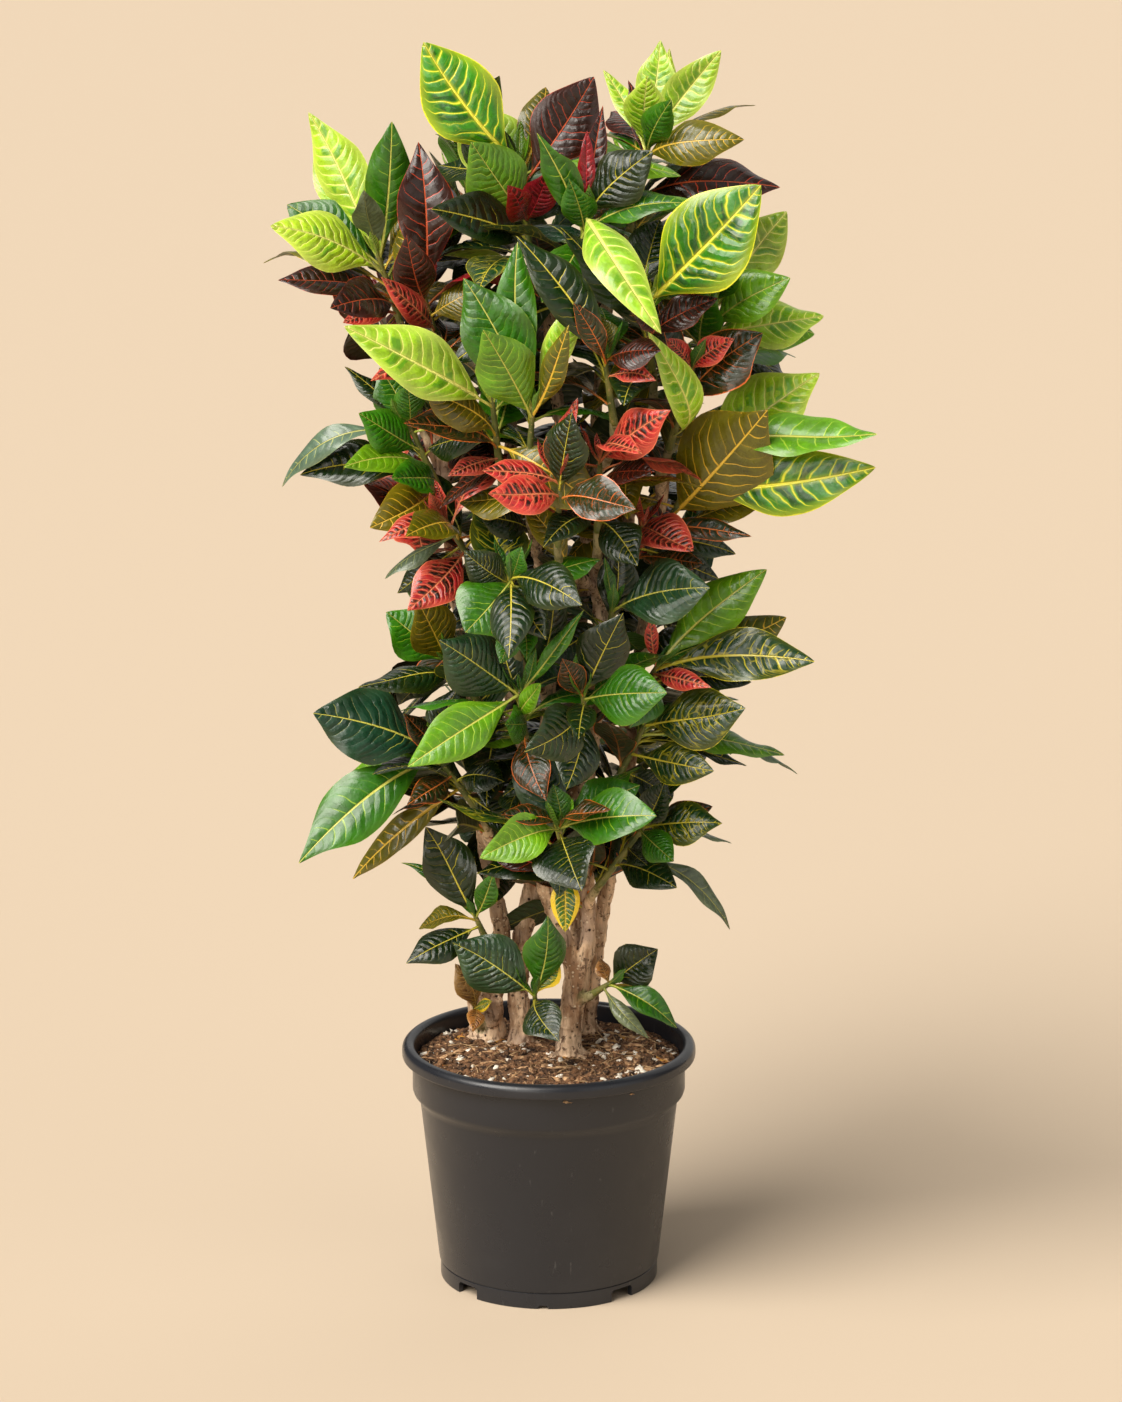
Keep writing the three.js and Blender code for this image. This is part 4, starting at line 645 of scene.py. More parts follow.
# Leafy heads. A head's line names the woody stem or limb that carries it, the height where its branch
# leaves it, the green shoot's two ends, each as x, z and y seen from the view point, the colour, and
# how many leaves the rule adds. A leaf is its root's place on the shoot, x and z of the tip as seen,
# its depth past the root, the width, the blade's tilt (0 looks up, 90 at the viewer), the arch as a
# share of the length, the kind and, in a few, a turn of the face to the right.
HEADS = {name: plan_of(words, rows) for (name, *words), rows in blocks("""
head_top_left stem_left 760 -128 880 -5 -150 950 -15 lime 5
 .75 -245 976 -35 52 48 .1 lime; .95 -210 1076 35 42 85 .04 lime; .9 -205 1056 60 40 80 .04 lime;
 .95 -137 1068 -20 38 80 .06 green; .85 -230 995 30 48 60 .08 green; .6 -252 943 80 28 5 .12 bronze;
 1 -162 1008 -40 26 -90 .02 grey; .45 -239 928 -20 36 32 .1 wine; .35 -193 903 -60 40 60 .12 wine;
 .8 -98 1006 20 34 25 .1 bronze; .25 -182 890 -30 20 50 .1 coral
head_upper_left stem_left 730 -92 850 -35 -110 915 -45 wine 4
 .95 -114 1050 40 46 90 .05 wine; .7 -58 922 -10 36 50 .1 bronze; .5 -148 931 -50 26 60 .12 coral;
 .15 -158 838 -70 28 70 .2 coral; .85 -125 968 -45 34 60 .1 wine
head_top stem_back_left 820 -14 930 -30 -24 1032 -35 green 6
 1 -109 1137 -10 62 75 .1 zebra; .6 -66 1088 40 58 80 .05 lime; .45 -68 1050 -30 56 60 .08 fresh;
 .8 40 1107 5 54 85 .06 wine; .5 -36 1012 -60 26 70 .1 crimson; .5 0 1024 -55 28 70 .1 crimson;
 .2 -103 991 -60 44 55 .08 forest; .9 -2 1098 45 34 75 .05 bronze
head_top_middle stem_front 880 24 925 -60 34 986 -72 green 4
 .7 -10 1058 -30 28 75 .06 green; .75 18 1018 -35 28 75 .08 green; .95 92 1042 -20 46 60 .08 forest;
 .75 121 996 -30 32 55 .1 green; .95 100 880 -110 38 75 .22 lime; 1 48 1082 25 18 60 .05 wine;
 1 34 1060 0 14 40 .05 crimson
head_top_right stem_back_right 860 72 975 0 88 1046 0 lime 5
 1 98 1139 15 34 80 .04 lime; .95 87 1108 -25 34 85 .04 lime; 1 106 1132 35 22 60 .03 lime;
 .95 151 1130 -10 34 70 .05 lime; .9 108 1087 -50 28 70 .08 green; .85 172 1052 -30 38 35 .22 bronze;
 .8 182 1082 40 26 5 .1 bronze; .35 204 1010 -20 56 50 .12 wine; .7 70 1104 30 16 40 .05 wine;
 .9 48 1113 50 18 60 .04 lime
head_right_front limb_upper 738 92 850 -70 80 915 -90 zebra 4
 .8 187 1012 -30 76 70 .08 zebra; 1 98 982 40 40 80 .05 forest; .4 150 912 -20 28 50 .1 wine
head_right_upper stem_right 790 130 845 -5 148 908 -10 lime 5
 .95 210 989 40 46 75 .06 lime; 1 165 948 -20 28 70 .05 green; .9 190 928 10 20 40 .1 bronze;
 .6 214 930 -15 46 60 .08 fresh; .5 244 896 20 48 60 .06 lime; .6 236 880 65 44 55 .05 fresh;
 .3 148 925 -50 34 75 .08 green
head_right_middle stem_right 720 108 778 -50 128 850 -65 bronze 4
 .95 165 876 -20 24 60 .1 coral; .95 105 876 -20 18 60 .08 coral; .5 190 881 -20 54 70 .08 ember;
 .15 88 882 -50 38 85 .26 lime 45
head_right_lower stem_right 650 100 695 -30 140 775 -45 lime 5
 .8 241 845 20 64 70 .06 lime; 1 293 790 -60 44 60 .06 fresh; .6 292 760 -50 52 62 .1 zebra;
 .25 195 812 -60 80 75 .06 bronze; .1 208 735 0 34 20 .06 bronze
head_centre_right stem_front 720 58 802 -95 50 858 -110 forest 4
 .85 -28 967 -10 38 70 .14 forest; .9 22 908 -25 20 70 .1 ember; .95 100 865 -30 34 40 .1 wine;
 1 45 897 10 26 70 .05 bronze; .7 96 838 -30 18 50 .1 coral
head_centre_left limb_centre 648 -18 755 -95 -14 812 -110 green 3
 .95 -75 930 0 56 80 .06 green; .85 -58 884 -35 48 80 .06 fresh; 1 -27 962 10 34 85 .04 green;
 .95 31 916 -10 24 70 .05 lime; .9 18 888 -40 22 60 .06 bronze
head_left_front stem_back_left 660 -44 765 -80 -50 820 -95 lime 3
 .9 -181 887 -40 52 62 .12 lime; .2 -129 800 -50 38 45 .1 ember; .4 -113 831 -35 40 55 .12 bronze;
 .05 -90 752 -40 20 50 .1 coral
head_left_upper stem_left 660 -96 738 -20 -125 800 -30 green 5
 1 -181 851 20 20 50 .05 forest; .6 -169 809 -30 38 60 .08 green; .8 -150 850 10 40 75 .06 green;
 1 -125 835 -20 26 70 .05 green; .85 -238 742 10 24 30 .25 grey; .25 -222 753 -10 42 45 .1 forest;
 .35 -183 760 -50 32 55 .1 fresh; .1 -140 750 -60 34 60 .1 green; .1 -160 705 -60 44 75 .15 bronze
head_centre stem_front 630 8 690 -100 10 748 -115 coral 3
 .8 21 810 -25 38 80 .06 forest; 1 6 802 -10 22 70 .05 ember; 1 26 823 10 18 70 .05 coral;
 .95 -59 757 -30 28 55 .1 coral; .75 -54 736 -55 34 60 .1 coral; .7 78 722 -45 38 50 .1 ember
head_centre_small stem_front 640 44 705 -72 46 768 -90 coral 3
 .95 109 812 -40 38 60 .12 coral; .9 84 772 -50 22 50 .1 coral; .1 -5 687 -50 28 50 .08 forest;
 .1 80 670 -50 36 65 .12 forest
head_right_red stem_front 610 72 655 -30 84 708 -45 coral 4
 .9 130 684 -55 40 60 .15 coral; .8 182 697 -20 20 50 .08 ember; .7 168 681 20 28 50 .1 forest;
 .4 139 672 -30 24 40 .08 ember; .6 153 658 0 30 60 .1 forest
head_left_red stem_left 580 -64 665 -40 -92 712 -55 coral 4
 1 -152 692 -40 24 50 .2 coral; .6 -128 697 -60 36 45 .08 bronze; .7 -147 658 -10 24 15 .06 grey;
 .4 -127 629 -45 38 65 .12 coral; .5 -136 645 15 26 60 .08 forest
head_left_middle stem_left 500 -64 545 -25 -90 580 -35 green 5
 1 -146 628 0 46 75 .05 green; .95 -120 642 -25 44 75 .06 bronze; .6 -172 558 -45 38 50 .1 forest
head_centre_dark limb_centre 540 -30 600 -90 -34 660 -105 forest 3
 .95 -75 609 -40 58 72 .15 green; 1 -24 688 -15 20 70 .05 green; .9 -76 684 -20 32 60 .15 forest;
 .9 -36 585 -55 36 80 .15 forest; .95 -2 602 -45 34 75 .12 forest; .4 -20 583 -50 20 70 .1 green;
 .3 -44 580 -20 20 60 .12 green; 1 30 634 -50 40 70 .12 forest
head_centre_silver limb_centre 455 -22 515 -80 -26 554 -95 silver 3
 .9 -99 602 -35 54 62 .04 silver; .4 -7 562 -40 18 60 .08 fresh; .95 -128 484 -45 42 68 .12 fresh;
 .3 -40 524 -40 32 70 .15 green; 1 32 630 -10 14 60 .08 green; .05 -2 452 -40 32 80 .1 ember
head_star_upper stem_front 480 35 515 -75 31 550 -90 green 3
 1 67 627 -10 44 80 .06 forest; .9 107 553 -45 50 62 .1 green; .7 27 510 -60 24 85 .12 forest;
 .8 -22 498 -55 48 75 .15 forest; .4 16 463 -45 36 85 .1 forest; 1 12 585 -20 24 80 .04 ember;
 1 30 598 10 16 70 .05 fresh
head_right_grey stem_front 570 50 588 -60 57 630 -75 silver 4
 .95 145 650 -35 56 62 .08 silver; .6 62 690 10 34 80 .05 forest
head_right_long stem_right 500 74 540 -35 98 578 -45 forest 4
 .9 240 582 -30 46 48 .06 net; 1 172 605 10 36 50 .08 green; .8 147 558 -50 18 50 .1 coral;
 .7 211 577 20 26 40 .05 fresh; 1 92 625 -10 12 60 .02 coral; .5 183 563 0 36 55 .08 forest;
 1 196 667 30 44 75 .05 fresh; 1 214 623 45 44 45 .05 bronze; 1 152 624 25 36 60 .06 green
head_right_net stem_right 430 60 468 -30 88 525 -45 forest 4
 .95 178 539 -25 52 65 .08 net; .8 214 495 10 28 38 .1 fresh; .7 180 485 30 24 40 .05 forest;
 .75 226 477 50 18 15 .15 grey; .5 150 480 -45 36 52 .08 net; .2 112 455 0 26 60 .1 forest
head_star_lower stem_front 360 12 392 -85 10 428 -100 green 3
 .95 98 438 -45 50 62 .1 green; 1 83 467 15 44 65 .1 green; 1 57 444 -35 26 38 .1 ember;
 .8 30 367 -55 58 80 .12 forest; .9 -63 398 -35 38 50 .2 fresh; .5 9 361 -20 26 80 .1 silver;
 1 4 468 -10 22 75 .1 green; .95 -43 439 -30 22 35 .1 ember; .05 15 328 -20 24 85 .1 yellow
head_right_low stem_front 340 48 375 -20 88 430 -35 ember 4
 .95 158 431 -25 38 60 .1 net; 1 149 447 10 24 50 .08 ember; .8 167 412 20 14 30 .1 grey;
 .9 114 395 -45 28 75 .12 green; .3 117 370 -45 34 60 .12 forest; .5 166 330 10 20 30 .15 grey;
 .6 90 391 -30 16 50 .1 forest; .4 100 405 0 28 50 .1 forest; 1 105 470 -10 28 60 .1 forest
head_left_long stem_left 395 -64 442 -15 -104 498 -25 green 4
 .95 -213 534 -25 66 62 .08 silver; .9 -228 393 -50 52 62 .1 green; .8 -186 473 20 36 55 .08 fresh;
 1 -131 534 -30 22 50 .1 ember; .4 -179 378 10 30 50 .1 bronze; .6 -129 448 -50 26 50 .12 ember;
 .5 -40 470 -40 32 60 .1 forest; .9 -80 560 5 36 70 .1 forest
sprout_left stem_left 290 -57 320 0 -67 343 -5 forest 1
 .9 -112 428 -10 44 78 .04 forest; 1 -50 386 -30 20 75 .05 green; .8 -119 331 10 24 40 .2 bronze;
 .6 -131 298 -25 32 50 .08 forest; .95 -135 394 30 12 40 .15 green
sprout_front stem_back_right 216 -11 246 -8 -13 268 -18 silver 0
 .95 -88 318 -10 52 78 .06 silver; 1 -1 344 -10 38 85 .06 green; 1 9 302 5 24 60 .1 yellow;
 .8 10 223 -45 36 85 .15 forest
sprout_right stem_front 250 42 270 -8 56 279 -14 forest 0
 1 100 312 -10 40 70 .08 forest; .9 118 236 -20 24 50 .25 green; .7 112 252 20 18 35 .2 bronze;
 .6 92 226 -30 14 50 .2 grey; 1 47 303 10 14 70 .05 dry
sprout_dried stem_left 216 -66 242 42 -68 256 38 dry 0
 1 -86 298 -10 26 60 .2 dry; .8 -70 232 -30 16 70 .2 dry; .9 -52 262 -20 12 60 .1 yellow
head_back_top_left stem_back_left 840 -62 945 70 -72 1010 88 lime 9
head_back_top_right stem_back_right 880 62 960 92 70 1026 108 zebra 9
head_back_top stem_back_left 780 -5 900 135 -4 960 160 green 9
head_back_left_upper stem_left 700 -132 850 62 -152 905 78 wine 9
head_back_right_upper stem_right 740 140 850 62 158 905 78 green 9
head_back_middle_left stem_back_left 690 -48 790 150 -56 842 175 bronze 9
head_back_middle_right stem_back_right 680 70 780 155 80 834 178 lime 9
head_back_left stem_left 590 -112 700 52 -132 752 66 coral 9
head_back_right stem_right 590 138 700 55 156 752 70 forest 9
head_back_centre stem_back_right 560 8 670 150 8 722 172 green 9
head_back_low_left stem_back_left 480 -82 575 82 -100 622 96 forest 9
head_back_low_right stem_back_right 470 98 570 88 114 616 102 forest 9
head_back_low_centre stem_back_right 400 22 490 125 24 534 145 green 8
head_back_lowest stem_back_left 360 -58 440 92 -70 480 112 forest 8
""")}
OUTLINE = [
  [250, -40, 40], [350, -80, 50], [400, -115, 100], [450, -175, 130], [500, -185, 175], [550, -160, 190],
  [600, -130, 195], [650, -125, 150], [700, -140, 145], [750, -185, 200], [800, -145, 230],
  [850, -165, 225], [900, -190, 225], [950, -225, 190], [1000, -215, 190], [1050, -140, 150],
  [1100, -70, 120], [1125, -60, 100],
]
DEPTH_SHARE = 1.02
SHIFTS = [
  [0, 0], [-12, 0], [12, 0], [-22, 0.06], [22, -0.04], [-32, 0], [32, 0], [-42, 0.08], [42, 0.08],
  [-54, 0], [54, 0], [-68, 0.05], [68, 0.05], [-84, 0], [84, 0], [-100, 0.05], [100, 0.05],
]
TURNS = [
  [0, 0, 1], [16, 6, 1], [-16, -6, 1], [30, -8, 0.96], [-30, 8, 0.96], [46, 12, 0.92], [-46, -12, 0.92],
  [8, 20, 0.9], [-8, -20, 0.9], [62, 0, 0.85], [-62, 0, 0.85], [24, 26, 0.8], [-24, -26, 0.8],
  [80, 10, 0.75], [-80, 10, 0.75], [100, -10, 0.7], [-100, -10, 0.7],
]
GOLDEN_ANGLE = 137.508
BRANCH_RADIUS = 4.6
JOINT_GAP = 0.4
BOWS = [(0, 0)] + [(size, k * math.pi / 4) for size in (12, 24, 36, 48) for k in range(8)]
MATCH = 0.3 * MM


def drawn_out(y):
    return y * FRONT_REACH if y < 0 else y


def seen(x, z, y):
    """The place at depth y that the view point sees at x, z on the plane through the pot's axis."""
    reach = 1 - y / VIEW_POINT[1]
    return VIEW_POINT + (np.array([x, 0.0, z]) - VIEW_POINT) * reach


def shown_at(places):
    """Where places are seen from the view point: x and z on the plane through the pot's axis."""
    x, y, z = np.asarray(places, float).T
    reach = 1 - y / VIEW_POINT[1]
    return VIEW_POINT[0] + (x - VIEW_POINT[0]) / reach, VIEW_POINT[2] + (z - VIEW_POINT[2]) / reach


def random_from(seed):
    """The model's repeatable random numbers in 0..1."""
    state = seed

    def draw():
        nonlocal state
        state = (state + 0x6D2B79F5) & 0xFFFFFFFF
        t = ((state ^ (state >> 15)) * (state | 1)) & 0xFFFFFFFF
        t ^= (t + (((t ^ (t >> 7)) * (t | 61)) & 0xFFFFFFFF)) & 0xFFFFFFFF
        return ((t ^ (t >> 14)) & 0xFFFFFFFF) / 4294967296

    return draw


def crown_share(places):
    """How far out in the crown each place is: 0 in its middle, 1 on its outline, more outside."""
    x, z = shown_at(places)
    y = np.asarray(places, float)[..., 1]
    heights, left, right = zip(*OUTLINE)
    low, high = np.interp(z, heights, left), np.interp(z, heights, right)
    half, middle = (high - low) / 2, (high + low) / 2
    share = np.hypot((x - middle) / half, y / (half * DEPTH_SHARE))
    return np.where(z > heights[-1], np.inf, share)


def inside_crown(tip, share=1.0):
    return crown_share(tip) < share


def corners_of(node):
    """The corners of a node of the model, to look up by place."""
    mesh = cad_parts[node].data
    corners = KDTree(len(mesh.vertices))
    for vertex in mesh.vertices:
        corners.insert(vertex.co, vertex.index)
    corners.balance()
    return corners


def bezier(a, b, c, d, t):
    t = np.asarray(t, float)[:, None]
    return a * (1 - t) ** 3 + 3 * b * (1 - t) ** 2 * t + 3 * c * (1 - t) * t**2 + d * t**3


def on_wood(carrier, height):
    """The place at a given height on a woody stem or limb."""
    rows = np.array(STEMS[carrier] if carrier in STEMS else LIMBS[carrier]["rows"], float)
    i = max(1, int(np.argmax(rows[:, 2] >= height)))
    low, high = rows[i - 1], rows[i]
    return (low + (high - low) * (height - low[2]) / (high[2] - low[2]))[:3]


class Head:
    def __init__(self, name, plan, order):
        self.name, self.plan, self.order = name, plan, order
        x, z, y = plan["base"]
        self.base = seen(x, z, drawn_out(y))
        x, z, y = plan["top"]
        self.rise = seen(x, z, drawn_out(y)) - self.base
        self.corners = corners_of(name)
        carrier = plan["stem"]
        self.stem = LIMBS[carrier]["stem"] if carrier in LIMBS else carrier
        self.branch = self.branch_taken(on_wood(carrier, plan["fork"]))

    def branch_taken(self, start):
        """The four control points of the branch that carries the head, bowed as the model's is: the
        first way that leaves the ring half along it among the corners of the stem's node."""
        end = self.base - unit(self.rise) * JOINT_GAP
        corners = corners_of(self.stem)
        for size, angle in BOWS:
            bow = np.array([size * math.cos(angle), size * math.sin(angle), 0.0])
            points = self.bowed(start, end, bow)
            middle = bezier(*points, [0.5])[0]
            first = unit(middle - start)
            across = other_axis(first)
            across = unit(across - first * across.dot(first))
            along = unit(end - start)
            across = unit(across - along * across.dot(along))
            other = np.cross(along, across)
            ring = [middle + (BRANCH_RADIUS - 0.4) * way for way in (across, -across, other, -other)]
            if sum(corners.find(Vector(metres(p)))[2] < MATCH for p in ring) >= 2:
                return points
        return self.bowed(start, end, np.zeros(3))

    def bowed(self, start, end, bow):
        span = np.linalg.norm(end - start)
        return [start, start + [0, 0, span * 0.3] + bow, end - unit(self.rise) * span * 0.35 + bow, end]

    def on_shoot(self, s):
        return self.base + self.rise * min(s, 0.97)

    def chosen(self, forms):
        """The form of a leaf that the model took: the one whose tip is a corner of the node."""
        for form in forms:
            if self.corners.find(Vector(metres(form["tip"])))[2] < MATCH:
                return form
        return None

    def planned_leaves(self):
        for s, x, z, deeper, width, tilt, bend, kind, *turn in self.plan["leaves"]:
            root = self.on_shoot(s)
            a, b = math.radians(tilt), math.radians(turn[0] if turn else 0)
            face = np.array([math.sin(a) * math.sin(b), -math.sin(a) * math.cos(b), math.cos(a)])
            forms = [
                {"root": root, "tip": seen(x, z, root[1] + drawn_out(deeper) + shift), "width": width,
                 "bend": bend + arch, "face": face}
                for shift, arch in SHIFTS
            ]
            yield self.chosen(forms), kind

    def ruled_leaves(self):
        draw = random_from(1000 + 17 * self.order)
        count = self.plan["more"]
        away = len(self.plan["leaves"]) > 0
        start = 90 if away else 360 * draw()
        kinds = RULED_KINDS[self.plan["colour"]]
        for i in range(count):
            share = (i + 0.5) / count
            spread = (share - 0.5) * 230 if away else i * GOLDEN_ANGLE
            heading = start + spread + 24 * (draw() - 0.5)
            slope = (34 if away else 66) - (50 if away else 76) * (draw() if away else share)
            slope += 14 * (draw() - 0.5)
            length = 92 + 46 * draw()
            width = length * (0.34 + 0.12 * draw())
            bend = 0.06 + 0.1 * draw()
            root = self.on_shoot(0.95 - 0.85 * share)
            forms = []
            for turn, tilt, size in TURNS:
                tip = root + direction(heading + turn, slope + tilt) * length * size
                if inside_crown(tip):
                    forms.append({"root": root, "tip": tip, "width": width * size, "bend": bend,
                                  "face": np.array([0.0, 0.0, 1.0])})
            yield self.chosen(forms), kinds[min(int(share * len(kinds)), len(kinds) - 1)]


def direction(heading, slope):
    a, b = math.radians(heading), math.radians(slope)
    return np.array([math.cos(a) * math.cos(b), math.sin(a) * math.cos(b), math.sin(b)])


# ---------- foliage ----------
SPARSE = np.linspace(0.2, 1.0, 17), np.array([0.0, 0.3, -0.3, 0.6, -0.6, 0.92, -0.92])
DENSE = np.linspace(0.0, 1.0, 45), np.linspace(-0.96, 0.96, 13)
LEAF_GAP = 2.6
SIGHT_CELL = 5.0
SIGHT_SPAN = 320
SIGHTS = [(22.5 * k, 14.0) for k in range(16)] + [(-9.0, 14.0), (9.0, 14.0)]
SIGHTS += [(60.0 * k, 50.0) for k in range(6)]
CROWN_STEP = 5.0
CROWN_CHORD = 50.0
VIEWER_WEIGHT = 3.0
INNER_ROUNDS = 30
INNER_TRIES = 140
INNER_WORTH = 9
INNER_REACH = 0.97
INNER_HIDDEN = 0.06
INNER_DETAIL = 0.75
INNER_LENGTHS = (70, 142)
INNER_SLOPES = (-35, 70)
INNER_WIDTHS = (0.32, 0.44)
INNER_BENDS = (0.03, 0.17)
# Where the wood is seen between the leaves from the view point: x, z and radius on the plane
# through the pot's axis.
GLIMPSES = [(50, 648, 24), (37, 512, 20), (69, 503, 13), (24, 300, 40), (-38, 300, 22)]
YOUNG_LEAVES = 4
YOUNG_LENGTH, YOUNG_STEP = 46, 8


def samples_of(form, spread=SPARSE):
    """Points spread over the leaf, to judge distances and cover by."""
    along = form["tip"] - form["root"]
    length = np.linalg.norm(along)
    ahead = along / length
    up = unit(form["face"] - ahead * form["face"].dot(ahead))
    side = np.cross(up, ahead)
    t = spread[0][:, None]
    middle = form["root"] + along * t + up * form["bend"] * length * 4 * t * (1 - t)
    half = half_width(t, form["width"])
    return (middle[:, None, :] + side * (half * spread[1])[..., None]).reshape(-1, 3)


class Room:
    """The space already taken by leaves, kept as the cells of a grid."""

    def __init__(self):
        self.cells = set()
        self.near = [(i, j, k) for i in (-1, 0, 1) for j in (-1, 0, 1) for k in (-1, 0, 1)]

    def cells_of(self, places):
        return {tuple(cell) for cell in np.floor(places / LEAF_GAP).astype(int).tolist()}

    def take(self, places):
        for x, y, z in self.cells_of(places):
            self.cells.update((x + i, y + j, z + k) for i, j, k in self.near)

    def free(self, places):
        return self.cells.isdisjoint(self.cells_of(places))


class Sights:
    """Where the crown can still be looked through: the open cells of one picture plane for each
    line of sight from all round, and of the view point's, which counts for more."""

    def __init__(self):
        turn, tilt = np.radians(SIGHTS).T
        self.right = np.stack([np.cos(turn), np.sin(turn), 0 * turn], 1)
        self.up = np.stack([-np.sin(turn) * np.sin(tilt), np.cos(turn) * np.sin(tilt), np.cos(tilt)], 1)
        heights, left, right = zip(*OUTLINE)
        reach = max(max(right), -min(left)) * 1.3
        across = np.arange(-reach, reach, CROWN_STEP)
        upward = np.arange(heights[2], heights[-1] - 40, CROWN_STEP)
        crown = np.stack(np.meshgrid(across, across, upward), -1).reshape(-1, 3)
        crown = crown[crown_share(crown) < 0.92]
        planes = len(SIGHTS) + 1
        chord = np.bincount(self.cells_of(crown).ravel(), minlength=planes * SIGHT_SPAN**2)
        weight = np.repeat([1.0] * len(SIGHTS) + [VIEWER_WEIGHT], SIGHT_SPAN**2)
        self.open = weight * (chord * CROWN_STEP**3 / SIGHT_CELL**2 > CROWN_CHORD)
        self.nearest = np.full(planes * SIGHT_SPAN**2, np.inf)

    def cells_of(self, places):
        x, z = shown_at(places)
        u = np.floor(np.column_stack([places @ self.right.T, x]) / SIGHT_CELL).astype(int)
        w = np.floor(np.column_stack([places @ self.up.T, z]) / SIGHT_CELL).astype(int)
        plane = np.arange(len(SIGHTS) + 1)
        return (plane * SIGHT_SPAN + u + SIGHT_SPAN // 2) * SIGHT_SPAN + w + SIGHT_SPAN // 4

    def worth(self, places):
        return self.open[np.unique(self.cells_of(places))].sum()

    def close(self, places):
        self.open[self.cells_of(places)] = 0

    def show(self, places):
        """Keep a leaf that the photograph shows in the viewer's sight."""
        np.minimum.at(self.nearest, self.cells_of(places)[:, -1], places[:, 1])

    def hidden(self, places):
        """The share of a leaf that would stand before such leaves, as the viewer sees it."""
        nearest = self.nearest[self.cells_of(places)[:, -1]]
        return np.mean(np.isfinite(nearest) & (places[:, 1] < nearest))


def hides_wood(places):
    """Whether a leaf would stand before wood that the viewer sees."""
    x, z = shown_at(places)
    before = places[:, 1] < 30
    return any((before & (np.hypot(x - a, z - b) < r)).any() for a, b, r in GLIMPSES)


def inner_leaf(head, rng, room, sights):
    """A leaf deeper in the crown, on the head's shoot or its branch, clear of those already there:
    of many, the one that closes most of what can be looked through."""
    best, most = None, INNER_WORTH
    for _ in range(INNER_TRIES):
        if rng.random() < 0.5:
            root = bezier(*head.branch, [rng.uniform(0.1, 1.0)])[0]
        else:
            root = head.base + head.rise * rng.uniform(0.0, 0.9)
        heading = rng.uniform(0, 360)
        length = rng.uniform(*INNER_LENGTHS)
        tip = root + direction(heading, rng.uniform(*INNER_SLOPES)) * length
        lean = direction(heading, 0) * rng.uniform(-0.2, 1.2)
        if rng.random() < 0.5:
            lean = unit(root * np.array([1.0, 1.0, 0.0])) * rng.uniform(0.2, 1.8)
        form = {"root": root, "tip": tip, "width": length * rng.uniform(*INNER_WIDTHS),
                "bend": rng.uniform(*INNER_BENDS), "face": unit(np.array([0.0, 0.0, 1.0]) + lean)}
        if inside_crown(tip, INNER_REACH):
            places = samples_of(form)
            worth = sights.worth(places)
            if worth > most and room.free(places) and not hides_wood(places):
                if sights.hidden(places) < INNER_HIDDEN:
                    best, most = form, worth
    return best


def growing_tip(foliage, head, rng):
    """The youngest leaves, narrow and upright round the shoot's end."""
    kind = RULED_KINDS[head.plan["colour"]][0]
    axis = unit(head.rise)
    for i in range(YOUNG_LEAVES):
        length = YOUNG_LENGTH - YOUNG_STEP * i + rng.uniform(-4, 4)
        turn = math.radians(i * GOLDEN_ANGLE + 40 * head.order)
        lean = np.array([math.cos(turn), math.sin(turn), 0.0]) * (0.5 - 0.1 * i)
        ahead = unit(axis + lean)
        root = head.on_shoot(0.95)
        form = {"root": root, "tip": root + ahead * length, "width": length * 0.24, "bend": -0.05,
                "face": unit(-lean + axis * 0.3)}
        foliage.add_leaf(form, kind, rng, fold=0.5)


def build_foliage(material):
    heads = [Head(name, plan, order) for order, (name, plan) in enumerate(HEADS.items())]
    leaves = {head.name: [] for head in heads}
    room, sights = Room(), Sights()

    def grown(head, form, kind, detail):
        leaves[head.name].append((form, kind, detail))
        room.take(samples_of(form))
        sights.close(samples_of(form, DENSE))

    for head in heads:
        for form, kind in head.planned_leaves():
            if form:
                grown(head, form, kind, 1.0)
                sights.show(samples_of(form, DENSE))
        for form, kind in head.ruled_leaves():
            if form:
                grown(head, form, kind, 1.0)
    for turn in range(INNER_ROUNDS):
        for head in heads:
            if head.name.startswith("sprout"):
                continue
            rng = random.Random(500 + head.order + 100 * turn)
            form = inner_leaf(head, rng, room, sights)
            if form:
                grown(head, form, rng.choice(INNER_KINDS[head.plan["colour"]]), INNER_DETAIL)
    for head in heads:
        rng = random.Random(100 + head.order)
        foliage = Foliage()
        for form, kind, detail in leaves[head.name]:
            foliage.add_leaf(form, kind, rng, detail=detail)
        growing_tip(foliage, head, rng)
        name = head.name.replace("head", "leaves")
        make_object(name, foliage.mesh(name), material, HEAD_SLOTS[head.plan["colour"]], [head.name])
    return heads


# ---------- wood and shoots ----------
WOOD_VOXEL = 1.3 * MM
WOOD_SIDES = 18
SPLINE_STEPS = 7
BRANCH_STEPS = 16
ROOTS = 7
SHOOT_STEPS, SHOOT_SIDES, SHOOT_RINGS = 26, 12, 7
# Noise for the bark's swellings, pits, grit and ridges: its scale across and along, and its shift.
BARK_NOISES = (60, 34, 0), (190, 90, 9), (480, 260, 5), (300, 40, 3)
SCAR_STEP = 0.021
YOUNG_REACH = 7.5 * MM


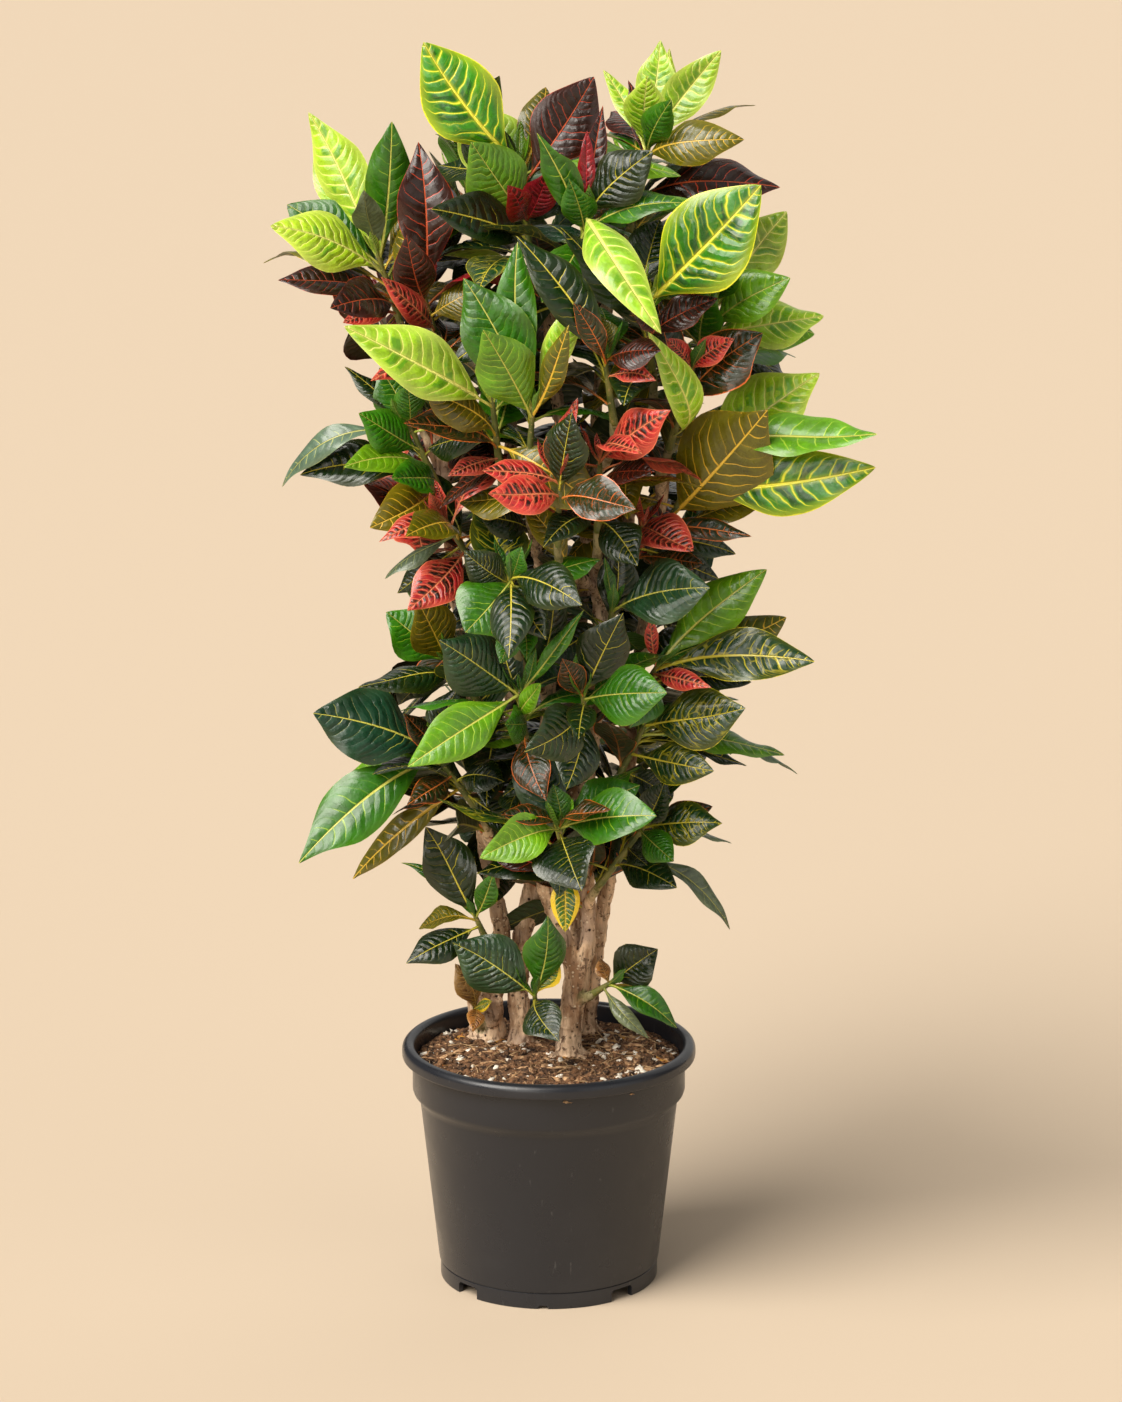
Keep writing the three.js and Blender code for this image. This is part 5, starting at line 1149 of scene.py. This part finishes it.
def sweep(path, radii, sides):
    """Points and faces of a round tube along a path, closed at both ends."""
    path = np.asarray(path, float)
    points, faces = [], []
    across = None
    for i, centre in enumerate(path):
        along = unit(path[min(i + 1, len(path) - 1)] - path[max(i - 1, 0)])
        if across is None:
            across = other_axis(along)
        across = unit(across - along * across.dot(along))
        other = np.cross(along, across)
        for k in range(sides):
            angle = 2 * math.pi * k / sides
            points.append(centre + radii[i] * (across * math.cos(angle) + other * math.sin(angle)))
        if i:
            for k in range(sides):
                a, b = (i - 1) * sides + k, (i - 1) * sides + (k + 1) % sides
                faces.append((a, b, b + sides, a + sides))
    last = (len(path) - 1) * sides
    faces.append(tuple(reversed(range(sides))))
    faces.append(tuple(range(last, last + sides)))
    return np.array(points), faces


def joined(parts):
    """One list of points and of faces from several."""
    points, faces, start = [], [], 0
    for some_points, some_faces in parts:
        points.append(some_points)
        faces += [tuple(i + start for i in face) for face in some_faces]
        start += len(some_points)
    return np.concatenate(points), faces


def build_shoots(heads, material):
    """The green shoots, ringed where leaves have stood."""
    parts = []
    for head in heads:
        s = np.linspace(-0.06, 1.06, SHOOT_STEPS)
        rings = 0.35 * np.sin(s * 2 * math.pi * SHOOT_RINGS) ** 6
        radii = 3.5 - 1.5 * np.clip(s, 0, 1) + rings
        radii[-1] *= 0.4
        parts.append(sweep(head.base + head.rise * s[:, None], radii, SHOOT_SIDES))
    points, faces = joined(parts)
    make_object("green_shoots", mesh_of("green_shoots", metres(points), faces), material, "leaf_green")


def evaluated(piece):
    """The mesh of a piece with its modifiers applied; the piece itself is removed."""
    bpy.context.view_layer.update()
    graph = bpy.context.evaluated_depsgraph_get()
    mesh = bpy.data.meshes.new_from_object(piece.evaluated_get(graph))
    bpy.data.objects.remove(piece)
    return mesh


def spline(rows):
    """A smooth line through rows of [x, y, z, radius]."""
    rows = np.array(rows, float)
    padded = np.vstack([2 * rows[0] - rows[1], rows, 2 * rows[-1] - rows[-2]])
    t = np.linspace(0, 1, SPLINE_STEPS, endpoint=False)[:, None]
    line = []
    for a, b, c, d in zip(padded, padded[1:], padded[2:], padded[3:]):
        square, cube = a - 2.5 * b + 2 * c - d / 2, 1.5 * (b - c) + (d - a) / 2
        line.append(b + (c - a) * t / 2 + square * t**2 + cube * t**3)
    return np.vstack([*line, rows[-1]])


def roots_of(node):
    """Lines of the roots that spread from a stem's foot and dive into the soil."""
    x, y, _, radius = STEMS[node][1]
    rng = random.Random(len(node) + int(x))
    for k in range(ROOTS):
        turn = 2 * math.pi * (k + rng.uniform(-0.3, 0.3)) / ROOTS
        reach = radius + rng.uniform(9, 24)
        thick = rng.uniform(2.4, 4.4)
        rows = [
            (0.35 * radius, SOIL_TOP + rng.uniform(10, 24), thick), (radius + 1, SOIL_TOP + 3.5, thick * 0.9),
            (radius + 0.45 * (reach - radius), SOIL_TOP + 0.5, thick * 0.7),
            (reach, SOIL_TOP - 6, thick * 0.4),
        ]
        swing = rng.uniform(-0.5, 0.5)
        yield spline([
            [x + r * math.cos(turn + swing * i / 3), y + r * math.sin(turn + swing * i / 3), z, size]
            for i, (r, z, size) in enumerate(rows)
        ])


def wood_lines(node, heads):
    """The stem's own line, its limbs', roots' and branches', as rows of [x, y, z, radius]."""
    trunk = spline(STEMS[node])
    trunk[:, 3] *= 1 + 0.3 * np.exp(-(((trunk[:, 2] - SOIL_TOP) / 11) ** 2))
    lines = [trunk, *roots_of(node)]
    lines += [spline(limb["rows"]) for limb in LIMBS.values() if limb["stem"] == node]
    for head in heads:
        if head.stem == node:
            t = np.linspace(0, 1, BRANCH_STEPS)
            radii = 4.7 - 0.9 * t + 0.25 * np.sin(t * 19 + head.order)
            lines.append(np.column_stack([bezier(*head.branch, t), radii]))
    return lines


def youth(places, node, heads):
    """How green the bark is at each place: green only along the outer part of a branch."""
    young = np.zeros(len(places))
    t = np.linspace(0, 1, BRANCH_STEPS)
    for head in heads:
        if head.stem == node:
            line = metres(bezier(*head.branch, t))
            away = np.linalg.norm(places[:, None, :] - line[None].astype(np.float32), axis=2)
            share = smooth(0.35, 0.9, t[away.argmin(axis=1)])
            young = np.maximum(young, share * (away.min(axis=1) < YOUNG_REACH))
    return young


def roughened(places, normals, young):
    """Places on the bark moved out or in: swellings, pits, ridges along the stem and leaf scars."""
    swell = np.empty(len(places))
    for i, (x, y, z) in enumerate(places.tolist()):
        coarse, medium, fine, ridge = (
            noise.noise(Vector((x * a, y * a, z * b + c))) for a, b, c in BARK_NOISES
        )
        ridge = 1 - abs(ridge) * 2
        scar = max(0.0, math.sin(z * 2 * math.pi / SCAR_STEP + 3 * coarse + 3 * x / 0.02)) ** 12
        swell[i] = 0.2 + 2.0 * coarse + 1.1 * medium + 0.5 * fine + 0.6 * ridge + 0.9 * scar * (0.5 + medium)
    swell *= 1 - 0.65 * young
    return places + normals * (swell * MM)[:, None]


def build_wood(node, heads, material):
    """A woody stem with its limbs and branches, grown into one body with rough bark."""
    parts = [sweep(line[:, :3], line[:, 3], WOOD_SIDES) for line in wood_lines(node, heads)]
    points, faces = joined(parts)
    rough = make_object(f"{node}_rough", mesh_of(f"{node}_rough", metres(points), faces))
    remesh = rough.modifiers.new("voxels", "REMESH")
    remesh.mode = "VOXEL"
    remesh.voxel_size = WOOD_VOXEL
    rounding = rough.modifiers.new("rounding", "SMOOTH")
    rounding.factor = 0.5
    rounding.iterations = 8
    mesh = evaluated(rough)
    mesh.name = f"wood_{node}"
    mesh.update()
    count = len(mesh.vertices)
    places = np.empty(3 * count, np.float32)
    normals = np.empty(3 * count, np.float32)
    mesh.vertices.foreach_get("co", places)
    mesh.vertices.foreach_get("normal", normals)
    places, normals = places.reshape(-1, 3), normals.reshape(-1, 3)
    young = youth(places, node, heads)
    places = roughened(places, normals, young)
    mesh.vertices.foreach_set("co", places.astype(np.float32).ravel())
    mesh.attributes.new("young", "FLOAT", "POINT").data.foreach_set("value", young.astype(np.float32))
    mesh.polygons.foreach_set("use_smooth", np.ones(len(mesh.polygons), bool))
    mesh.update()
    make_object(f"wood_{node}", mesh, material, "bark", [node])


# ---------- pot ----------
POT_SIDES = 192
NOTCH_RADIUS, NOTCH_DEPTH = 98.6, 20.0
# Width, height and azimuth of the drain notches and the small vents in the foot.
NOTCHES = ((25.0, 22.0, 42.0), (10.0, 7.0, -3.0))
# Width, depth, height, azimuth, radius and height above the ground of the floor's slots.
SLOT = 14.0, 16.0, 20.0, 42.0, 82.6, 14.0
SHARP_EDGE = math.radians(32)


def arc(cx, cz, radius, start, end, steps=8):
    """Profile points on an arc, its angles in degrees from outwards, turning up."""
    angles = np.radians(np.linspace(start, end, steps + 1))
    return [(cx + radius * math.cos(a), cz + radius * math.sin(a)) for a in angles]


def lathe(profile, sides):
    """A closed solid turned about the pot's axis from a profile that closes on itself."""
    angles = 2 * math.pi * np.arange(sides) / sides
    points = np.array([[r * math.sin(a), -r * math.cos(a), z] for r, z in profile for a in angles])
    faces = []
    for i in range(len(profile)):
        below, above = i * sides, (i + 1) % len(profile) * sides
        for k in range(sides):
            nxt = (k + 1) % sides
            faces.append((below + k, below + nxt, above + nxt, above + k))
    return points, faces


def cutter(name, width, depth, height, azimuth, radius, z):
    """A block with rounded upright edges, centred on the foot's ring."""
    bm = bmesh.new()
    bmesh.ops.create_cube(bm, size=1.0)
    bmesh.ops.scale(bm, vec=(width * MM, depth * MM, height * MM), verts=bm.verts)
    along_y = [e for e in bm.edges if abs((e.verts[0].co - e.verts[1].co).normalized().y) > 0.9]
    bmesh.ops.bevel(bm, geom=along_y, offset=1.6 * MM, segments=4, affect="EDGES")
    bmesh.ops.translate(bm, vec=(0, -radius * MM, z * MM), verts=bm.verts)
    bmesh.ops.rotate(bm, matrix=Matrix.Rotation(math.radians(azimuth), 3, "Z"), verts=bm.verts)
    bmesh.ops.translate(bm, vec=tuple(AXIS), verts=bm.verts)
    mesh = bpy.data.meshes.new(name)
    bm.to_mesh(mesh)
    bm.free()
    return mesh


def build_pot(material):
    profile = [
        (95.6, 0.0), *arc(99.6, 1.0, 1.0, -90, 0, 3), (100.6, 14.6), (99.9, 15.2), (99.9, 16.0),
        (101.5, 16.7), (102.1, 20.0), (118.5, 168.5), (119.4, 171.5), (122.0, 175.2), (124.6, 178.2),
        (125.5, 181.0), (125.5, 209.0), *arc(127.0, 209.4, 1.5, 180, 90, 3), (132.4, 211.0),
        *arc(132.6, 213.4, 2.4, -90, 0, 5), *arc(128.8, 217.8, 6.2, 0, 90, 10),
        *arc(127.8, 219.6, 4.4, 90, 180, 6), (123.4, 216.0), (123.4, 183.0), (122.6, 180.2),
        (117.6, 172.4), (116.6, 170.0), (100.4, 17.5), (98.4, 14.0), (9.0, 14.0), (9.0, 11.5),
        (94.8, 11.5), (95.4, 9.0),
    ]
    points, faces = lathe(profile, POT_SIDES)
    body = make_object("pot_body_rough", mesh_of("pot_body", metres(points), faces))
    cutters = []
    for k in range(4):
        for width, height, azimuth in NOTCHES:
            tool = cutter("notch", width, NOTCH_DEPTH, height, azimuth + 90 * k, NOTCH_RADIUS, 0.0)
            cutters.append(make_object(f"notch_{width:.0f}_{k}", tool))
        width, depth, height, azimuth, radius, z = SLOT
        tool = cutter("slot", width, depth, height, azimuth + 90 * k, radius, z)
        cutters.append(make_object(f"slot_{k}", tool))
    for tool in cutters:
        cut = body.modifiers.new("cut", "BOOLEAN")
        cut.operation = "DIFFERENCE"
        cut.solver = "EXACT"
        cut.object = tool
    mesh = evaluated(body)
    for tool in cutters:
        bpy.data.objects.remove(tool)
    mesh.name = "pot_body"
    bm = bmesh.new()
    bm.from_mesh(mesh)
    for face in bm.faces:
        face.smooth = True
    for edge in bm.edges:
        edge.smooth = len(edge.link_faces) == 2 and edge.calc_face_angle(0) < SHARP_EDGE
    bm.to_mesh(mesh)
    bm.free()
    make_object("pot_body", mesh, material, "pot_plastic", ["pot"])


# ---------- soil ----------
SOIL_SIDES, SOIL_RINGS = 260, 52
# Radius and height of the soil's rim and of its side against the pot's wall, down to its floor.
SOIL_WALL = (SOIL_RADIUS, 184.0), (115.8, 171.0), (98.5, 15.0)
CRUMBS, PERLITE, CHIPS, LITTER, FIBRES = 1700, 190, 250, 16, 90


def lump(rng, size, flat=1.0, long=1.0, rough=0.35, subdivisions=1):
    """An irregular grain round the origin, as points and faces."""
    bm = bmesh.new()
    bmesh.ops.create_icosphere(bm, subdivisions=subdivisions, radius=1.0)
    offset = Vector((rng.uniform(0, 50), rng.uniform(0, 50), rng.uniform(0, 50)))
    turn = Matrix.Rotation(rng.uniform(0, 2 * math.pi), 3, "Z")
    turn = turn @ Matrix.Rotation(rng.uniform(-0.4, 0.4), 3, "X")
    points = []
    for vertex in bm.verts:
        swell = 1 + rough * 1.6 * noise.noise(vertex.co * 2.1 + offset)
        place = Vector((vertex.co.x * long, vertex.co.y, vertex.co.z * flat)) * swell * size
        points.append(tuple(turn @ place))
    faces = [tuple(v.index for v in face.verts) for face in bm.faces]
    bm.free()
    return np.array(points), faces


def soil_height(x, y):
    """How high the soil's crumbly top stands at a place, in millimetres."""
    swells = ((30, 0, 2.0), (7.5, 4, 2.0), (3.2, 8, 1.1))
    near, crumbs, grit = (noise.noise(Vector((x / size, y / size, z))) * by for size, z, by in swells)
    bank = 2.6 * (1 - min(1.0, math.hypot(x, y) / SOIL_RADIUS) ** 2)
    return SOIL_TOP + near + (crumbs + grit) + bank


def build_soil(material, perlite, chips, fibre, litter):
    sides = SOIL_SIDES
    rings = [(r, None) for r in np.linspace(2.4, SOIL_RADIUS - 1, SOIL_RINGS)]
    rings += [(SOIL_RADIUS, None), *SOIL_WALL]
    points = [(0.0, 0.0, soil_height(0, 0))]
    faces = [(0, 1 + k, 1 + (k + 1) % sides) for k in range(sides)]
    for r, height in rings:
        for k in range(sides):
            a = 2 * math.pi * k / sides
            x, y = r * math.sin(a), -r * math.cos(a)
            points.append((x, y, soil_height(x, y) if height is None else height))
    for start in range(1, len(points) - sides, sides):
        for k in range(sides):
            a, b = start + k, start + (k + 1) % sides
            faces.append((a, a + sides, b + sides, b))
    start = len(points) - sides
    points.append((0.0, 0.0, SOIL_WALL[-1][1]))
    faces += [(len(points) - 1, start + (k + 1) % sides, start + k) for k in range(sides)]
    make_object("soil_bed", mesh_of("soil_bed", metres(points), faces), material, "potting_soil", ["soil"])

    rng = random.Random(7)

    def scattered(name, count, finish, make):
        parts = []
        for _ in range(count):
            r = (SOIL_RADIUS - 5) * math.sqrt(rng.random())
            a = rng.uniform(0, 2 * math.pi)
            x, y = r * math.cos(a), r * math.sin(a)
            some, faces_of = make()
            parts.append((some + np.array([x, y, soil_height(x, y)]), faces_of))
        points_of, all_faces = joined(parts)
        make_object(name, mesh_of(name, metres(points_of), all_faces), finish, "potting_soil")

    scattered("soil_crumbs", CRUMBS, material, lambda: lump(rng, rng.uniform(1.1, 3.4), 0.85, 1.2, 0.7))
    scattered("perlite", PERLITE, perlite,
              lambda: lump(rng, 0.8 + 2.9 * rng.random() ** 1.3, 0.75, 1.25, 0.8, 2))
    scattered("bark_chips", CHIPS, chips,
              lambda: lump(rng, 1.3 + 2.5 * rng.random() ** 1.5, 0.4, rng.uniform(1.4, 4.2), 0.7, 2))
    scattered("leaf_litter", LITTER, litter,
              lambda: lump(rng, rng.uniform(3.0, 5.5), 0.16, rng.uniform(1.4, 2.4), 0.8, 2))

    def strand():
        length = rng.uniform(14, 34)
        turn, curl = rng.uniform(0, 2 * math.pi), rng.uniform(-1.2, 1.2)
        s = np.linspace(-0.5, 0.5, 9)
        angle = turn + curl * s
        x, y, z = length * s * np.cos(angle), length * s * np.sin(angle), 1.2 + 1.5 * np.cos(4 * s)
        return sweep(np.stack([x, y, z], 1), np.full(9, rng.uniform(0.25, 0.5)), 5)

    scattered("fibres", FIBRES, fibre, strand)


# ---------- floor, light and camera ----------
FLOOR_RADIUS = 150.0
# Name, place, strength, colour and angle of each far, broad light, which shines at the plant's middle.
LIGHTS = [
    ("key", (-2.4, -2.1, 3.9), 4.4, (1.0, 0.955, 0.88), 44),
    ("window", (-2.0, -0.9, 4.2), 0.5, (1.0, 0.96, 0.9), 84),
    ("front", (-1.2, -3.0, 1.3), 0.7, (1.0, 0.94, 0.84), 30),
    ("side", (2.4, -1.8, 1.6), 0.55, (1.0, 0.96, 0.9), 60),
    ("back", (1.2, 3.0, 2.4), 0.55, (1.0, 0.97, 0.92), 70),
]


def build_stage():
    floor_material = Graph("pale_floor").finish(Base_Color=(*linear(206, 187, 164), 1.0), Roughness=0.9)
    bm = bmesh.new()
    bmesh.ops.create_circle(bm, cap_ends=True, radius=FLOOR_RADIUS, segments=96)
    mesh = bpy.data.meshes.new("floor")
    bm.to_mesh(mesh)
    bm.free()
    floor = make_object("floor", mesh, floor_material)

    world = bpy.data.worlds.new("studio")
    world.use_nodes = True
    world.node_tree.nodes["Background"].inputs["Color"].default_value = (1.0, 0.94, 0.85, 1)
    world.node_tree.nodes["Background"].inputs["Strength"].default_value = 0.08
    bpy.context.scene.world = world

    for name, source, strength, colour, spread in LIGHTS:
        light = bpy.data.lights.new(name, "SUN")
        light.energy = strength
        light.color = colour
        light.angle = math.radians(spread)
        lamp = bpy.data.objects.new(name, light)
        lamp.location = source
        lamp.rotation_euler = (Vector((0, 0, 0.5)) - Vector(source)).to_track_quat("-Z", "Y").to_euler()
        bpy.context.scene.collection.objects.link(lamp)

    bpy.context.scene.view_settings.view_transform = "Standard"

    camera = bpy.data.cameras.new("camera")
    camera.lens = VIEW_LENS
    camera.sensor_width = 36.0
    camera.clip_end = 200.0
    viewer = bpy.data.objects.new("camera", camera)
    viewer.location = metres(VIEW_POINT)
    aim = Vector(metres(VIEW_AIM)) - viewer.location
    viewer.rotation_euler = aim.to_track_quat("-Z", "Y").to_euler()
    bpy.context.scene.collection.objects.link(viewer)
    bpy.context.scene.camera = viewer


# ---------- the scene ----------
build_stage()
plant_heads = build_foliage(leaf_material())
build_shoots(plant_heads, shoot_material())
bark = bark_material()
for stem in STEMS:
    build_wood(stem, plant_heads, bark)
build_pot(pot_material())
build_soil(
    soil_material(),
    grain_material("perlite", (218, 204, 184), (250, 242, 228), 0.8),
    grain_material("bark_chip", (128, 86, 54), (222, 180, 134), 0.85),
    grain_material("fibre", (150, 116, 78), (200, 166, 122), 0.8),
    grain_material("leaf_litter", (150, 84, 34), (214, 160, 66), 0.7),
)
